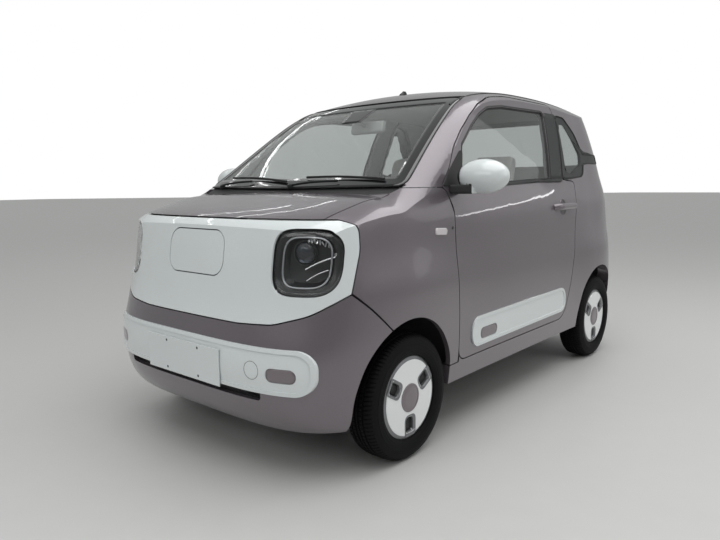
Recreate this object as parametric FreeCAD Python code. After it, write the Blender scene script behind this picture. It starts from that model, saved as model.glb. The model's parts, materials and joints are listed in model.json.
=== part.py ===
import FreeCAD, Part
import math
import os
from FreeCAD import Vector as V

# Driving sizes in mm, +X the car's left, +Y rearward, +Z up, the ground at z = 0
wheelbase = 1953.0
frontAxleY = -946.0
rearAxleY = frontAxleY + wheelbase
tyreRadius = 254.0
tyreWidth = 145.0
rimRadius = 152.0
coverRadius = 167.0
wheelPlaneX = 655.0
archRadius = 293.0
archCentreZ = 287.0
frontArchY = -965.0
rearArchY = 1005.0
sillBottomZ = 240.0
shutGap = 5.0
panelThickness = 22.0
doorThickness = 60.0
pillarThickness = 36.0
glassThickness = 6.0
glassDepth = 8.0
flapGap = 4.5
seatGap = 0.3
hingeReach = 8.0
trimProud = 7.0
trimRim = 15.0
mirrorCentre = (818.0, -567.0, 1116.5)
mirrorHalf = (116.0, 72.0)
steerX = 300.0
flareReach = 330.0
kingpinLow = V(600, frontAxleY, 170)
kingpinTop = V(500, frontAxleY, 660)

# Body plan outlines by height: z, half width, front y, rear y, arch flare
sections = [
    (180, 690, -1400, 1415, 0),
    (240, 718, -1456, 1465, 6),
    (330, 727, -1483, 1490, 14),
    (430, 731, -1490, 1498, 22),
    (520, 731, -1478, 1497, 24),
    (590, 730, -1454, 1492, 24),
    (680, 726, -1434, 1482, 24),
    (760, 720, -1420, 1473, 17),
    (830, 716, -1410, 1464, 3),
    (900, 715, -1398, 1456, 0),
    (970, 708, -1386, 1446, 0),
    (1050, 692, -1376, 1428, 0),
    (1100, 679, -1370, 1406, 0),
    (1250, 645, -1350, 1356, 0),
    (1400, 604, -1330, 1302, 0),
    (1500, 570, -1320, 1264, 0),
    (1600, 530, -1310, 1226, 0),
    (1700, 488, -1300, 1190, 0),
]

# Top line from the nose over the windscreen to the tail: y, z, half width, crown, edge fall
topLine = [
    (-1440, 760, 716, 8, 60),
    (-1425, 850, 716, 10, 60),
    (-1404, 920, 715, 14, 50),
    (-1372, 957, 714, 18, 44),
    (-1320, 984, 713, 20, 44),
    (-1240, 1008, 711, 22, 42),
    (-1120, 1036, 708, 24, 46),
    (-1020, 1055, 707, 25, 52),
    (-965, 1062, 706, 26, 52),
    (-915, 1082, 704, 27, 56),
    (-860, 1117, 700, 28, 71),
    (-700, 1231, 690, 29, 128),
    (-500, 1372, 641, 30, 82),
    (-400, 1438, 621, 32, 64),
    (-300, 1496, 601, 37, 50),
    (-180, 1542, 582, 43, 36),
    (-50, 1570, 568, 46, 30),
    (150, 1591, 561, 47, 30),
    (350, 1597, 560, 48, 31),
    (600, 1595, 563, 48, 33),
    (850, 1583, 568, 48, 36),
    (1050, 1564, 577, 48, 38),
    (1250, 1537, 587, 48, 40),
    (1450, 1500, 597, 48, 40),
]
topStations = [0, 0.2, 0.4, 0.58, 0.72, 0.82, 0.89, 0.94, 0.98, 1.02, 1.07]

# Door, glass and lamp outlines in side or front view, each corner with its round
doorOutline = [
    (-608, 330, 55), (-608, 985, 80), (-640, 1056, 12), (-668, 1080, 6), (-590, 1150, 200), (-528, 1237, 300),
    (-430, 1322, 300), (-327, 1394, 300), (-215, 1456, 300), (-66, 1506, 400), (106, 1524, 600),
    (622, 1522, 38), (560, 1100, 12), (712, 1090, 22), (690, 945, 300), (640, 700, 400),
    (588, 520, 200), (510, 330, 110),
]
doorGlassOutline = [
    (-516, 1074, 8), (-446, 1260, 16), (-328, 1350, 300), (-232, 1409, 200), (-141, 1446, 200),
    (18, 1464, 300), (492, 1472, 22), (402, 1104, 14),
]
quarterOutline = [
    (648, 1468, 22), (752, 1461, 50), (852, 1372, 90), (921, 1252, 24), (1176, 1252, 2),
    (1176, 1200, 2), (908, 1200, 30), (868, 1122, 70), (570, 1100, 16),
]
barOutline = [(-500, 362, 56), (-500, 498, 62), (512, 508, 62), (512, 372, 56)]
pillOutline = [(-425, 388, 25), (-425, 441, 25), (-268, 441, 25), (-268, 388, 25)]
frontPillOutline = [(467, 397, 25), (467, 450, 25), (581, 450, 25), (581, 397, 25)]
panelLowerEdge = [(0, 588), (300, 589), (468, 599), (599, 637), (661, 681), (740, 752)]
panelTopZ = 966.0
panelEnd = [
    (-1255, 700, 8), (-1204, 858, 160), (-1203, 968.5, 78), (-1330, 968, 4),
    (-1800, 968, 1), (-1800, 520, 1), (-1255, 520, 1),
]
windscreenOutline = [
    (-632, 1080, 26), (0, 1073, 2), (632, 1080, 26), (598, 1196, 600), (571, 1290, 600), (546, 1382, 600),
    (507, 1503, 40), (0, 1503, 2), (-507, 1503, 40), (-546, 1382, 600), (-571, 1290, 600), (-598, 1196, 600),
]
bonnetOutline = [(570, -1500), (577, -1259), (585, -1161), (593, -1039), (603, -925), (540, -960), (300, -974), (0, -980)]
tailgateOutline = [
    (497, 1700, 1), (497, 1485, 60), (588, 1115, 60), (560, 1005, 50), (452, 968, 60),
    (432, 880, 60), (425, 628, 55),
]
tailGlassOutline = [(455, 1474, 40), (530, 1198, 45)]
cowlShape = [
    (-632, -846), (-606, -916), (-540, -952), (-300, -966), (0, -972), (300, -966), (540, -952),
    (606, -916), (632, -846), (0, -880),
]
flapOutline = [(-178, 748, 58), (178, 748, 58), (178, 919, 58), (-178, 919, 58)]
lampCentre = (552, 818)
lampSize = (232, 240)
tailLampCentre = (562, 822)
tailLampSize = (190, 216)
roofEdgeX = 497.0
roofFrontZ = 1507.0
roofRearY = 1216.0


def monotone(xs, ys, x):
    n = len(xs)
    h = [xs[i + 1] - xs[i] for i in range(n - 1)]
    d = [(ys[i + 1] - ys[i]) / h[i] for i in range(n - 1)]
    m = [d[0]]
    for i in range(1, n - 1):
        if d[i - 1] * d[i] <= 0:
            m.append(0.0)
        else:
            w1 = 2 * h[i] + h[i - 1]
            w2 = h[i] + 2 * h[i - 1]
            m.append((w1 + w2) / (w1 / d[i - 1] + w2 / d[i]))
    m.append(d[-1])
    i = 0
    while i < n - 2 and x > xs[i + 1]:
        i += 1
    t = (x - xs[i]) / h[i]
    a = ys[i] * (1 + 2 * t) * (1 - t) ** 2 + m[i] * h[i] * t * (1 - t) ** 2
    return a + ys[i + 1] * t * t * (3 - 2 * t) + m[i + 1] * h[i] * t * t * (t - 1)


def squared(c):
    return math.copysign(abs(c) ** 0.5, c)


# Points round a plan outline: straight sides, superellipse nose and tail, a bulge at each axle
def planPoints(z, a, yf, yr, flare):
    y0, y1 = -900.0, 900.0
    pts = []
    for i in range(12):
        t = math.pi / 2 * i / 12
        pts.append((a * squared(math.cos(t)), y1 + (yr - y1) * squared(math.sin(t))))
    for i in range(12):
        t = math.pi / 2 * (1 - i / 12)
        pts.append((-a * squared(math.cos(t)), y1 + (yr - y1) * squared(math.sin(t))))
    for i in range(8):
        pts.append((-a, y1 + (y0 - y1) * i / 8))
    for i in range(12):
        t = math.pi / 2 * i / 12
        pts.append((-a * squared(math.cos(t)), y0 + (yf - y0) * squared(math.sin(t))))
    for i in range(12):
        t = math.pi / 2 * (1 - i / 12)
        pts.append((a * squared(math.cos(t)), y0 + (yf - y0) * squared(math.sin(t))))
    for i in range(8):
        pts.append((a, y0 + (y1 - y0) * i / 8))
    out = []
    for x, y in pts:
        near = math.exp(-((y - frontAxleY) / flareReach) ** 2)
        near += math.exp(-((y - rearAxleY) / flareReach) ** 2)
        bulge = flare * near * (abs(x) / a) ** 8
        out.append(V(x + math.copysign(bulge, x), y, z))
    return out


# One set of parameters for every height keeps the walls a light surface
def outlineParameters():
    pts = planPoints(0, 715, -1440, 1470, 0)
    spans = [0.0]
    for i in range(len(pts)):
        spans.append(spans[-1] + (pts[(i + 1) % len(pts)] - pts[i]).Length)
    return [s / spans[-1] for s in spans]


# The side walls, drawn in by a wall depth below and above the belt
def wallForm(low, high):
    table = list(zip(*sections))
    z0, z1 = table[0][0], table[0][-1]
    wires = []
    spans = outlineParameters()
    for i in range(21):
        z = z0 + (z1 - z0) * i / 20
        a, yf, yr, flare = [monotone(table[0], table[k], z) for k in (1, 2, 3, 4)]
        e = low + (high - low) * min(1.0, max(0.0, (z - 1000) / 80.0))
        curve = Part.BSplineCurve()
        curve.interpolate(Points=planPoints(z, a - e, yf + e, yr - e, flare), Parameters=spans, PeriodicFlag=True)
        wires.append(Part.Wire([curve.toShape()]))
    return Part.makeLoft(wires, True, False)


# The bonnet, windscreen and roof as one crowned surface
def topForm(low, high):
    stations = [-s for s in topStations[:0:-1]] + topStations
    rows = []
    spans = [0.0]
    n = len(topLine)
    for i, (y, z, a, crown, fall) in enumerate(topLine):
        p = topLine[max(i - 1, 0)]
        q = topLine[min(i + 1, n - 1)]
        length = math.hypot(q[0] - p[0], q[1] - p[1])
        yy = y + high * (q[1] - p[1]) / length
        zz = z - high * (q[0] - p[0]) / length
        e = low + (high - low) * min(1.0, max(0.0, (z - 1000) / 80.0))
        wrap = max(0.0, min(1.0, (-y - 1000) / 400.0))
        wrap = wrap * wrap * (3 - 2 * wrap)
        row = []
        for s in stations:
            u = min(abs(s), 0.9)
            back = 480 * (1 - (1 - u ** 4) ** 0.25) * wrap
            row.append(V(s * (a - e), yy + back, zz - crown * s * s - fall * abs(s) ** 14))
        rows.append(row)
        if i:
            spans.append(spans[-1] + (rows[i][10] - rows[i - 1][10]).Length)
    spans = [s / spans[-1] for s in spans]
    across = [(s - stations[0]) / (stations[-1] - stations[0]) for s in stations]
    poles = []
    for row in rows:
        curve = Part.BSplineCurve()
        curve.interpolate(Points=row, Parameters=across)
        poles.append(curve.getPoles())
    uKnots, uMults, uDegree = curve.getKnots(), curve.getMultiplicities(), curve.Degree
    columns = []
    for j in range(len(poles[0])):
        curve = Part.BSplineCurve()
        curve.interpolate(Points=[p[j] for p in poles], Parameters=spans)
        columns.append(curve.getPoles())
    surface = Part.BSplineSurface()
    surface.buildFromPolesMultsKnots(
        columns, uMults, curve.getMultiplicities(), uKnots, curve.getKnots(),
        False, False, uDegree, curve.Degree)
    return surface.toShape().extrude(V(0, 0, 1500))


# The whole outside as one solid, or a copy drawn in by a wall depth
def form(low, high):
    return wallForm(low, high).cut(topForm(low, high)).Solids[0]


# A closed wire of straight edges with rounded corners
def roundWire(points, plane):
    n = len(points)
    place = {
        "side": lambda u, v: V(0, u, v),
        "front": lambda u, v: V(u, 0, v),
        "plan": lambda u, v: V(u, v, 0),
    }[plane]
    edges = []
    cuts = []
    for i in range(n):
        p = points[i - 1]
        c = points[i]
        q = points[(i + 1) % n]
        a = V(p[0] - c[0], p[1] - c[1], 0)
        b = V(q[0] - c[0], q[1] - c[1], 0)
        la, lb = a.Length, b.Length
        a.normalize()
        b.normalize()
        angle = a.getAngle(b)
        radius = c[2] if len(c) > 2 else 0
        reach = radius / math.tan(angle / 2) if radius and angle < 3.1 else 0
        reach = min(reach, la * 0.47, lb * 0.47)
        centre = V(c[0], c[1], 0)
        if reach < 0.01:
            cuts.append((centre, centre, centre))
            continue
        s = centre + a * reach
        e = centre + b * reach
        r = reach * math.tan(angle / 2)
        middle = a + b
        middle.normalize()
        m = centre + middle * (r / math.sin(angle / 2) - r)
        cuts.append((s, m, e))
    for i in range(n):
        s, m, e = cuts[i]
        nextStart = cuts[(i + 1) % n][0]
        if (s - e).Length > 0.01:
            edges.append(Part.Arc(place(s.x, s.y), place(m.x, m.y), place(e.x, e.y)).toShape())
        if (nextStart - e).Length > 0.01:
            edges.append(Part.makeLine(place(e.x, e.y), place(nextStart.x, nextStart.y)))
    return Part.Wire(edges)


def prism(points, plane, start, end, grow=0.0):
    wire = roundWire(points, plane)
    if grow:
        wire = wire.makeOffset2D(grow)
    axis = {"side": V(1, 0, 0), "front": V(0, 1, 0), "plan": V(0, 0, 1)}[plane]
    wire.translate(axis * start)
    return Part.Face(wire).extrude(axis * (end - start))


def mirrored(points):
    back = [(-p[0],) + tuple(p[1:]) for p in points[::-1]]
    return list(points) + back


def box(x0, x1, y0, y1, z0, z1):
    return Part.makeBox(x1 - x0, y1 - y0, z1 - z0, V(x0, y0, z0))


def softBox(x0, x1, y0, y1, z0, z1, r):
    b = box(x0, x1, y0, y1, z0, z1)
    return b.makeFillet(r, b.Edges)


def rod(a, b, r):
    d = b - a
    return Part.makeCylinder(r, d.Length, a, d)


def across(shape):
    return shape.mirror(V(0, 0, 0), V(1, 0, 0))


def squircle(cx, cz, w, h, grow=0.0):
    w2, h2 = w / 2 + grow, h / 2 + grow
    pts = []
    for i in range(32):
        t = 2 * math.pi * i / 32
        c, s = math.cos(t), math.sin(t)
        x = cx + w2 * math.copysign(abs(c) ** 0.56, c)
        pts.append((x, cz + h2 * math.copysign(abs(s) ** 0.56, s)))
    return pts


def smoothPrism(points, start, end):
    curve = Part.BSplineCurve()
    curve.interpolate(Points=[V(x, start, z) for x, z in points], PeriodicFlag=True)
    return Part.Face(Part.Wire([curve.toShape()])).extrude(V(0, end - start, 0))


def solids(shape, least=2000.0):
    return Part.makeCompound([s for s in shape.Solids if s.Volume > least])


# The same wall at several depths
outer = form(0, 0)
glassOuter = form(glassDepth, glassDepth)
glassInner = form(glassDepth + glassThickness, glassDepth + glassThickness)
thinInner = form(panelThickness, panelThickness)
wallInner = form(doorThickness, pillarThickness)
panelSeat = form(panelThickness + seatGap, panelThickness + seatGap)
wallSeat = form(doorThickness + seatGap, pillarThickness + seatGap)
postForm = form(34, 34)
proud = form(-trimProud, -trimProud)
proudLow = form(-trimProud + 3, -trimProud + 3)
pillSeat = form(-1.5, -1.5)
far = 1800.0

# Wheel openings, open below the arch centre, and the underside
archCut = None
for cy in (frontArchY, rearArchY):
    hole = Part.makeCylinder(archRadius, 1700, V(-850, cy, archCentreZ), V(1, 0, 0))
    hole = hole.fuse(box(-850, 850, cy - archRadius, cy + archRadius, 100, archCentreZ))
    archCut = hole if archCut is None else archCut.fuse(hole)
underCut = box(-900, 900, frontArchY, rearArchY, 100, sillBottomZ)
underCut = underCut.fuse(box(-900, 900, -1700, frontArchY, 100, 198))
underCut = underCut.fuse(box(-900, 900, rearArchY, 1700, 100, 214))
shell = outer.cut(underCut.fuse(archCut))

# The room that each wheelhouse liner takes from the floor and the pillars
wheelhouse = None
for cy, x0 in ((frontAxleY - 9, 440), (rearAxleY, 540)):
    w = Part.makeCylinder(325 + seatGap, 900 - x0, V(x0, cy, 285), V(1, 0, 0))
    w = w.fuse(across(w))
    wheelhouse = w if wheelhouse is None else wheelhouse.fuse(w)

doorPrism = prism(doorOutline, "side", 0, 900)
doorHole = prism(doorOutline, "side", 0, 900, shutGap)
doorBox = prism(doorOutline, "side", 0, 900, -hingeReach)
glassHole = prism(doorGlassOutline, "side", 0, 900)
glassFill = prism(doorGlassOutline, "side", 0, 900, -0.4)
quarterHole = prism(quarterOutline, "side", 0, 900)
quarterFill = prism(quarterOutline, "side", 0, 900, -0.4)
screenFill = prism(windscreenOutline, "front", -1500, 0)
screenHole = prism(windscreenOutline, "front", -1500, 0, 0.5)
tailShape = mirrored(tailgateOutline)
tailFill = prism(tailShape, "front", roofRearY + shutGap, far)
tailHole = prism(tailShape, "front", roofRearY, far, shutGap)
tailBox = prism(tailShape, "front", roofRearY + shutGap + hingeReach, far, -hingeReach)
tailGlassFill = prism(mirrored(tailGlassOutline), "front", 1000, far, -0.4)
tailGlassHole = prism(mirrored(tailGlassOutline), "front", 1000, far)
cowlHole = prism(cowlShape, "plan", 900, far, 0.5)
bonnetShape = bonnetOutline + [(-p[0], p[1]) for p in bonnetOutline[-2::-1]]
bonnetFill = prism(bonnetShape, "plan", panelTopZ + 3, far)
bonnetHole = prism(bonnetShape, "plan", panelTopZ - 200, far, shutGap)
panelShape = [(-p[0], p[1], 200) for p in panelLowerEdge[:0:-1]]
panelShape = panelShape + [(p[0], p[1], 200) for p in panelLowerEdge]
panelShape = panelShape + [(740, panelTopZ - 3, 1), (-740, panelTopZ - 3, 1)]
noseFill = prism(panelEnd, "side", -far, far)
panelFill = prism(panelShape, "front", -far, -900).common(noseFill)
noseHole = prism(panelEnd, "side", -far, far, shutGap)
panelHole = prism(panelShape, "front", -far, -900, shutGap).common(noseHole)
cx, cz = lampCentre
lampHole = smoothPrism(squircle(cx, cz, lampSize[0], lampSize[1]), -far, -900)
lampFill = smoothPrism(squircle(cx, cz, lampSize[0], lampSize[1], -0.4), -far, -900)
cx, cz = tailLampCentre
tailLampHole = smoothPrism(squircle(cx, cz, tailLampSize[0], tailLampSize[1]), 1000, far)
tailLampFill = smoothPrism(squircle(cx, cz, tailLampSize[0], tailLampSize[1], -0.4), 1000, far)

parts = {}


def addPair(name, left):
    parts[name + "_left"] = left
    parts[name + "_right"] = across(left)


def bothSides(left):
    return Part.makeCompound(left.Solids + across(left).Solids)


# A raised pad with a rim, following the surface
def raisedPad(outline, plane, start, end, recess=None):
    pad = proud.common(prism(outline, plane, start, end)).cut(outer)
    sunk = prism(outline, plane, start, end, -trimRim)
    pad = pad.cut(sunk.cut(proudLow))
    if recess:
        pad = pad.cut(prism(recess, plane, start, end).cut(pillSeat))
    return solids(pad)


# Doors, cut for the glass, with the glass set inward
doorSkin = outer.common(doorPrism).cut(glassOuter)
door = doorSkin.fuse(glassOuter.common(doorBox).cut(wallInner)).cut(glassHole)
door = door.cut(box(-1, roofEdgeX + 6, -420, roofRearY + 1, 1340, far))
door = solids(door, 1e5)
addPair("door", door)
addPair("door_glass", solids(glassOuter.common(glassFill).cut(glassInner), 5e4))

# White bars along the doors and the mirror caps on their corner
bar = raisedPad(barOutline, "side", 500, 900, pillOutline)
capEnd = 0.08
arc = Part.Arc(Part.Ellipse(V(*mirrorCentre), mirrorHalf[0], mirrorHalf[1]), capEnd, math.pi - capEnd).toShape()
tips = [arc.Vertexes[-1].Point, arc.Vertexes[0].Point]
feet = [V(tip.x, mirrorCentre[1], tip.z) for tip in tips]
chords = [Part.makeLine(tips[0], feet[0]), Part.makeLine(feet[0], feet[1]), Part.makeLine(feet[1], tips[1])]
cap = Part.Face(Part.Wire([arc] + chords)).revolve(V(*mirrorCentre), V(1, 0, 0), 360)
rearFace = mirrorCentre[1] + 34
cap = cap.cut(box(650, 1000, rearFace, rearFace + 90, 1000, 1250))
foot = softBox(690, 806, mirrorCentre[1] - 62, mirrorCentre[1] + 24, 1046, 1084, 10)
sail = prism([(-664, 1079, 4), (-592, 1146, 60), (-452, 1256, 12), (-518, 1079, 8)], "side", 500, 900)
sail = proudLow.common(sail).cut(outer)
mirror = cap.fuse(foot.cut(outer)).fuse(sail)
addPair("door_trim", Part.makeCompound(bar.Solids + solids(mirror).Solids))

# Body side with sill, pillars, cant rail and quarter
sideRegion = prism([
    (-674, sillBottomZ), (-674, 321), (-600, 321), (-600, 960), (-655, 1076), (-945, 1076),
    (-945, far), (far, far), (far, 604), (1316, 604), (1250, 445), (1250, sillBottomZ - 40),
    (700, sillBottomZ - 40), (700, sillBottomZ)], "side", 0, 900)
side = shell.common(sideRegion).cut(wallInner)
post = postForm.common(box(604, 800, -652 + seatGap, -613.2, 268 + seatGap, 1056))
for z in (430, 840):
    post = post.fuse(box(650, 684, -640, -608 - seatGap, z, z + 70))
post = post.cut(wheelhouse).cut(prism(doorOutline, "side", 0, 900, seatGap))
side = side.fuse(post)
side = side.cut(doorHole.cut(box(600, 684, -614, -600, 400, 940)))
side = side.cut(quarterHole)
side = side.cut(screenHole)
side = side.cut(cowlHole)
side = side.cut(tailHole)
side = side.cut(tailLampHole)
side = side.cut(box(-1, roofEdgeX + 6, -420, roofRearY + 1, 1340, far))
addPair("body_side", solids(side, 20000))
parts["quarter_glass"] = bothSides(solids(outer.common(quarterFill).cut(glassOuter)))

# Roof between the two side channels, and the windscreen
roof = outer.common(box(-roofEdgeX, roofEdgeX, -400, roofRearY, 1400, far)).cut(wallInner)
roof = roof.cut(box(-900, 900, -1000, -180, 1300, roofFrontZ))
for x in (-300, 250):
    roof = roof.fuse(box(x, x + 50, roofRearY - 16, roofRearY + shutGap - seatGap, 1504, 1527))
parts["roof"] = solids(roof, 1e5)
screen = outer.common(screenFill).cut(glassOuter)
parts["windscreen"] = solids(screen.common(box(-900, 900, -1300, -180, 900, roofFrontZ - 0.5)), 1e5)

# Fenders
fenderRegion = prism([
    (-690, 326), (-613, 326), (-613, 962), (-646, 1058), (-672, 1073), (-1420, 1073), (-1420, 969),
    (-1300, 969), (-1300, 880), (-1246, 800), (-1262, 735), (-1250, 712), (-1176, 645), (-1081, 553), (-1000, 300),
    (-690, 300)], "side", 0, 900)
fender = shell.common(fenderRegion).cut(thinInner)
fender = fender.cut(bonnetHole).cut(panelHole).cut(screenHole).cut(cowlHole).cut(lampHole)
fender = fender.cut(box(-1, 530, -990, -940, 950, 1150))
addPair("fender", solids(fender, 50000))

# Bonnet, face panel, charge flap and headlamps
parts["bonnet"] = solids(outer.common(bonnetFill).cut(thinInner), 1e5)
panel = outer.common(panelFill).cut(thinInner)
parts["charge_flap"] = solids(panel.common(prism(flapOutline, "front", -far, -1200)))
panel = panel.cut(prism(flapOutline, "front", -far, -1200, flapGap))
panel = panel.cut(lampHole).cut(across(lampHole))
panel = panel.fuse(box(-192, -178 - seatGap, -1402, -1393, 812, 852))
parts["front_panel"] = solids(panel, 1e5)
lamp = glassOuter.common(lampFill).cut(wallInner)
lamp = lamp.common(box(0, 900, -far, -1100, 500, 1100))
parts["headlamps"] = bothSides(lamp)

# Front bumper with its bar, plate and lower intake
bumperRegion = prism([
    (-far, 180), (-1100, 180), (-1000, 300), (-1087, 550), (-1182, 641), (-1262, 712),
    (-1330, 745), (-far, 745)], "side", -900, 900)
bumper = shell.common(bumperRegion).cut(thinInner)
bumper = bumper.cut(panelHole)
intakeShape = mirrored([(434, 358, 6), (434, 318, 16)])
bumper = bumper.cut(prism(intakeShape, "front", -far, -1300))
parts["front_bumper"] = solids(bumper, 1e5)
pills = prism(frontPillOutline, "front", -far, -1100)
trim = raisedPad(mirrored([(641, 518, 70), (641, 352, 70)]), "front", -far, -1100)
sunkPill = pills.fuse(across(pills)).cut(pillSeat)
trim = trim.cut(sunkPill)
plate = box(-240, 240, -1497.8, -1494.3, 341, 485)
for sx in (-105, 105):
    for sz in (-56, 56):
        plate = plate.cut(Part.makeCylinder(3.5, 40, V(sx, -1530, 413 + sz), V(0, 1, 0)))
parts["front_bumper_trim"] = Part.makeCompound(trim.Solids + plate.Solids)

# Tailgate with its glass, tail lamps and rear bumper
gate = outer.common(tailFill).cut(glassOuter)
gate = gate.fuse(glassOuter.common(tailBox).cut(wallInner)).cut(tailGlassHole)
parts["tailgate"] = solids(gate, 1e5)
parts["tailgate_glass"] = solids(outer.common(tailGlassFill).cut(glassOuter))
tailLamp = glassOuter.common(tailLampFill).cut(wallInner)
tailLamp = tailLamp.common(box(0, 900, 1200, far, 600, 1000))
parts["tail_lamps"] = bothSides(tailLamp)
rearRegion = prism(
    [(1000, 180), (1000, 300), (1255, 440), (1321, 599), (far, 599), (far, 180)], "side", -900, 900)
rear = shell.common(rearRegion).cut(thinInner)
for sx in (-110, 110):
    rear = rear.cut(Part.makeCylinder(3.5, 80, V(sx, 1440, 470), V(0, 1, 0)))
parts["rear_bumper"] = solids(rear, 1e5)

# Black plastic: the cowl, the intake backing and the tray under the bonnet
cowl = glassOuter.common(prism(cowlShape, "plan", 900, far)).cut(thinInner).cut(screenHole)
for x in (-330, 280):
    cowl = cowl.fuse(box(x, x + 50, -971.9, -950, 1036, 1046))
backing = thinInner.common(box(-470, 470, -far, -1300, 305, 375)).cut(postForm)
for x in (-354, 306):
    backing = backing.cut(box(x, x + 48, -far, -1300, 326, 354))
trayHalf = 330 - seatGap
tray = softBox(-trayHalf, trayHalf, -1300, -740, 620, 880, 30)
tray = tray.cut(softBox(-trayHalf + 20, trayHalf - 20, -1280, -760, 640, 960, 20))
parts["black_trim"] = Part.makeCompound(solids(cowl).Solids + solids(backing).Solids + tray.Solids)

# Floor, firewall and raised rear floor
floor = box(-700, 700, -672, 520, 242, 268)
floor = floor.fuse(box(-636, 636, -672, -652, 242, 985))
floor = floor.fuse(box(-640, 640, 480, 505, 242, 500))
floor = floor.fuse(box(-530, 530, 480, 1400, 480, 505)).common(wallSeat)
floor = floor.fuse(box(-480, 480, 1390, 1500, 480, 505).common(panelSeat))
parts["floor_pan"] = floor.cut(wheelhouse)

# Wheelhouse liners
liners = []
for cy, x0 in ((frontAxleY - 9, 440), (rearAxleY, 542)):
    tube = Part.makeCylinder(325, 800 - x0, V(x0, cy, 285), V(1, 0, 0))
    tube = tube.cut(Part.makeCylinder(321, 800 - x0, V(x0 + 4, cy, 285), V(1, 0, 0)))
    tube = tube.common(panelSeat if cy < 0 else wallSeat)
    tube = tube.cut(box(0, 900, cy - 400, cy + 400, -100, 323))
    if cy < 0:
        tube = tube.cut(box(430, 560, cy - 70, cy + 90, 200, 700))
        tube = tube.cut(box(430, 450, cy - 130, cy + 150, 100, 480))
    else:
        tube = tube.cut(box(530, 560, cy - 60, cy + 60, 100, 420))
    liners += tube.Solids + across(tube).Solids
parts["arch_liners"] = Part.makeCompound(liners)


# Wheels, tyres and hubs
def tyreShape(x0, cy):
    w2 = tyreWidth / 2
    outline = [
        (x0 - w2 + 16, rimRadius, 4), (x0 - w2 + 2, rimRadius + 18, 12), (x0 - w2 - 1, 205, 60),
        (x0 - w2 + 8, tyreRadius - 5, 14), (x0 - w2 + 34, tyreRadius, 60),
        (x0 + w2 - 34, tyreRadius, 60), (x0 + w2 - 8, tyreRadius - 5, 14), (x0 + w2 + 1, 205, 60),
        (x0 + w2 - 5, coverRadius + 3, 9), (x0 + 56.7, coverRadius + 0.5, 2), (x0 + 56.7, rimRadius, 2)]
    tyre = Part.Face(roundWire(outline, "front")).revolve(V(0, 0, 0), V(1, 0, 0), 360)
    tyre.translate(V(0, cy, tyreRadius))
    return tyre


def ring(xa, xb, ra, rb):
    t = Part.makeCylinder(rb, xb - xa, V(xa, 0, 0), V(1, 0, 0))
    return t.cut(Part.makeCylinder(ra, xb - xa, V(xa, 0, 0), V(1, 0, 0)))


def wheelShape(x0, cy):
    rim = ring(x0 - 57, x0 + 57, rimRadius - 7, rimRadius - 0.2)
    disc = Part.makeCylinder(rimRadius - 3, 12, V(x0 + 40, 0, 0), V(1, 0, 0))
    cover = Part.makeCylinder(coverRadius, 5, V(x0 + 57, 0, 0), V(1, 0, 0))
    cover = cover.fuse(Part.makeCone(coverRadius, 150, 7, V(x0 + 61, 0, 0), V(1, 0, 0)))
    hub = Part.makeCylinder(52, 70, V(x0 - 4, 0, 0), V(1, 0, 0))
    wheel = rim.fuse(disc).fuse(cover).fuse(hub)
    for k in range(3):
        slot = softBox(x0 + 20, x0 + 90, -30, 30, 76, 142, 14)
        slot.rotate(V(0, 0, 0), V(1, 0, 0), 120 * k + 60)
        wheel = wheel.cut(slot)
    wheel = wheel.cut(Part.makeCylinder(20.05, 50, V(x0 - 10, 0, 0), V(1, 0, 0)))
    wheel.translate(V(0, cy, tyreRadius))
    return wheel


for name, cy in (("front", frontAxleY), ("rear", rearAxleY)):
    addPair("tyre_" + name, tyreShape(wheelPlaneX, cy))
    addPair("wheel_" + name, wheelShape(wheelPlaneX, cy))

# Front knuckles with their struts, then the arms, rails and strut towers
knuckle = softBox(566, 600, frontAxleY - 38, frontAxleY + 38, 192, 335, 8)
knuckle = knuckle.fuse(Part.makeCylinder(44, 46, V(600, frontAxleY, tyreRadius), V(1, 0, 0)))
knuckle = knuckle.fuse(Part.makeCylinder(20, 90, V(600, frontAxleY, tyreRadius), V(1, 0, 0)))
knuckle = knuckle.fuse(rod(V(560, frontAxleY, 262), V(546, frontAxleY, 420), 22))
knuckle = knuckle.fuse(rod(V(548, frontAxleY, 400), V(504, frontAxleY, 655), 12))
knuckle = knuckle.fuse(rod(V(538, frontAxleY, 455), V(507, frontAxleY, 636), 35))
kingpin = kingpinTop - kingpinLow
for z in (170 + seatGap + 14, 664 - seatGap - 14):
    ball = kingpinLow + kingpin * ((z - kingpinLow.z) / kingpin.z)
    knuckle = knuckle.fuse(Part.makeSphere(14, ball))
knuckle = knuckle.fuse(rod(V(575, frontAxleY, 225), V(560, frontAxleY + 110, 225), 11))
addPair("knuckle", knuckle)
frameLeft = rod(V(320, frontAxleY - 40, 205), V(598, frontAxleY, 153), 15)
frameLeft = frameLeft.fuse(rod(V(320, frontAxleY + 120, 205), V(598, frontAxleY, 153), 13))
frameLeft = frameLeft.fuse(Part.makeCylinder(24, 18, V(597, frontAxleY, 152), V(0, 0, 1)))
frameLeft = frameLeft.fuse(box(330, 400, -1380, -672, 300, 370))
frameLeft = frameLeft.fuse(box(330, 545, frontAxleY - 60, frontAxleY + 60, 664, 680))
frameLeft = frameLeft.fuse(box(330, 350, frontAxleY - 60, frontAxleY + 60, 330, 680))
frameLeft = frameLeft.fuse(box(300, 340, frontAxleY - 60, frontAxleY + 130, 195, 330))
frameLeft = frameLeft.fuse(box(300, 360, -1384, -1354, 300, 700))
stays = box(310, 350, -1600, -1354, 330, 350).fuse(box(310, 350, -1600, -1354, 660, 690))
frameLeft = frameLeft.fuse(stays.common(panelSeat))
frame = box(-330, 330, frontAxleY - 60, frontAxleY + 60, 200, 240).fuse(frameLeft)
frame = frame.fuse(across(frameLeft)).fuse(box(-400, 400, -1384, -1350, 290, 400))
parts["front_suspension"] = frame
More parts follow.
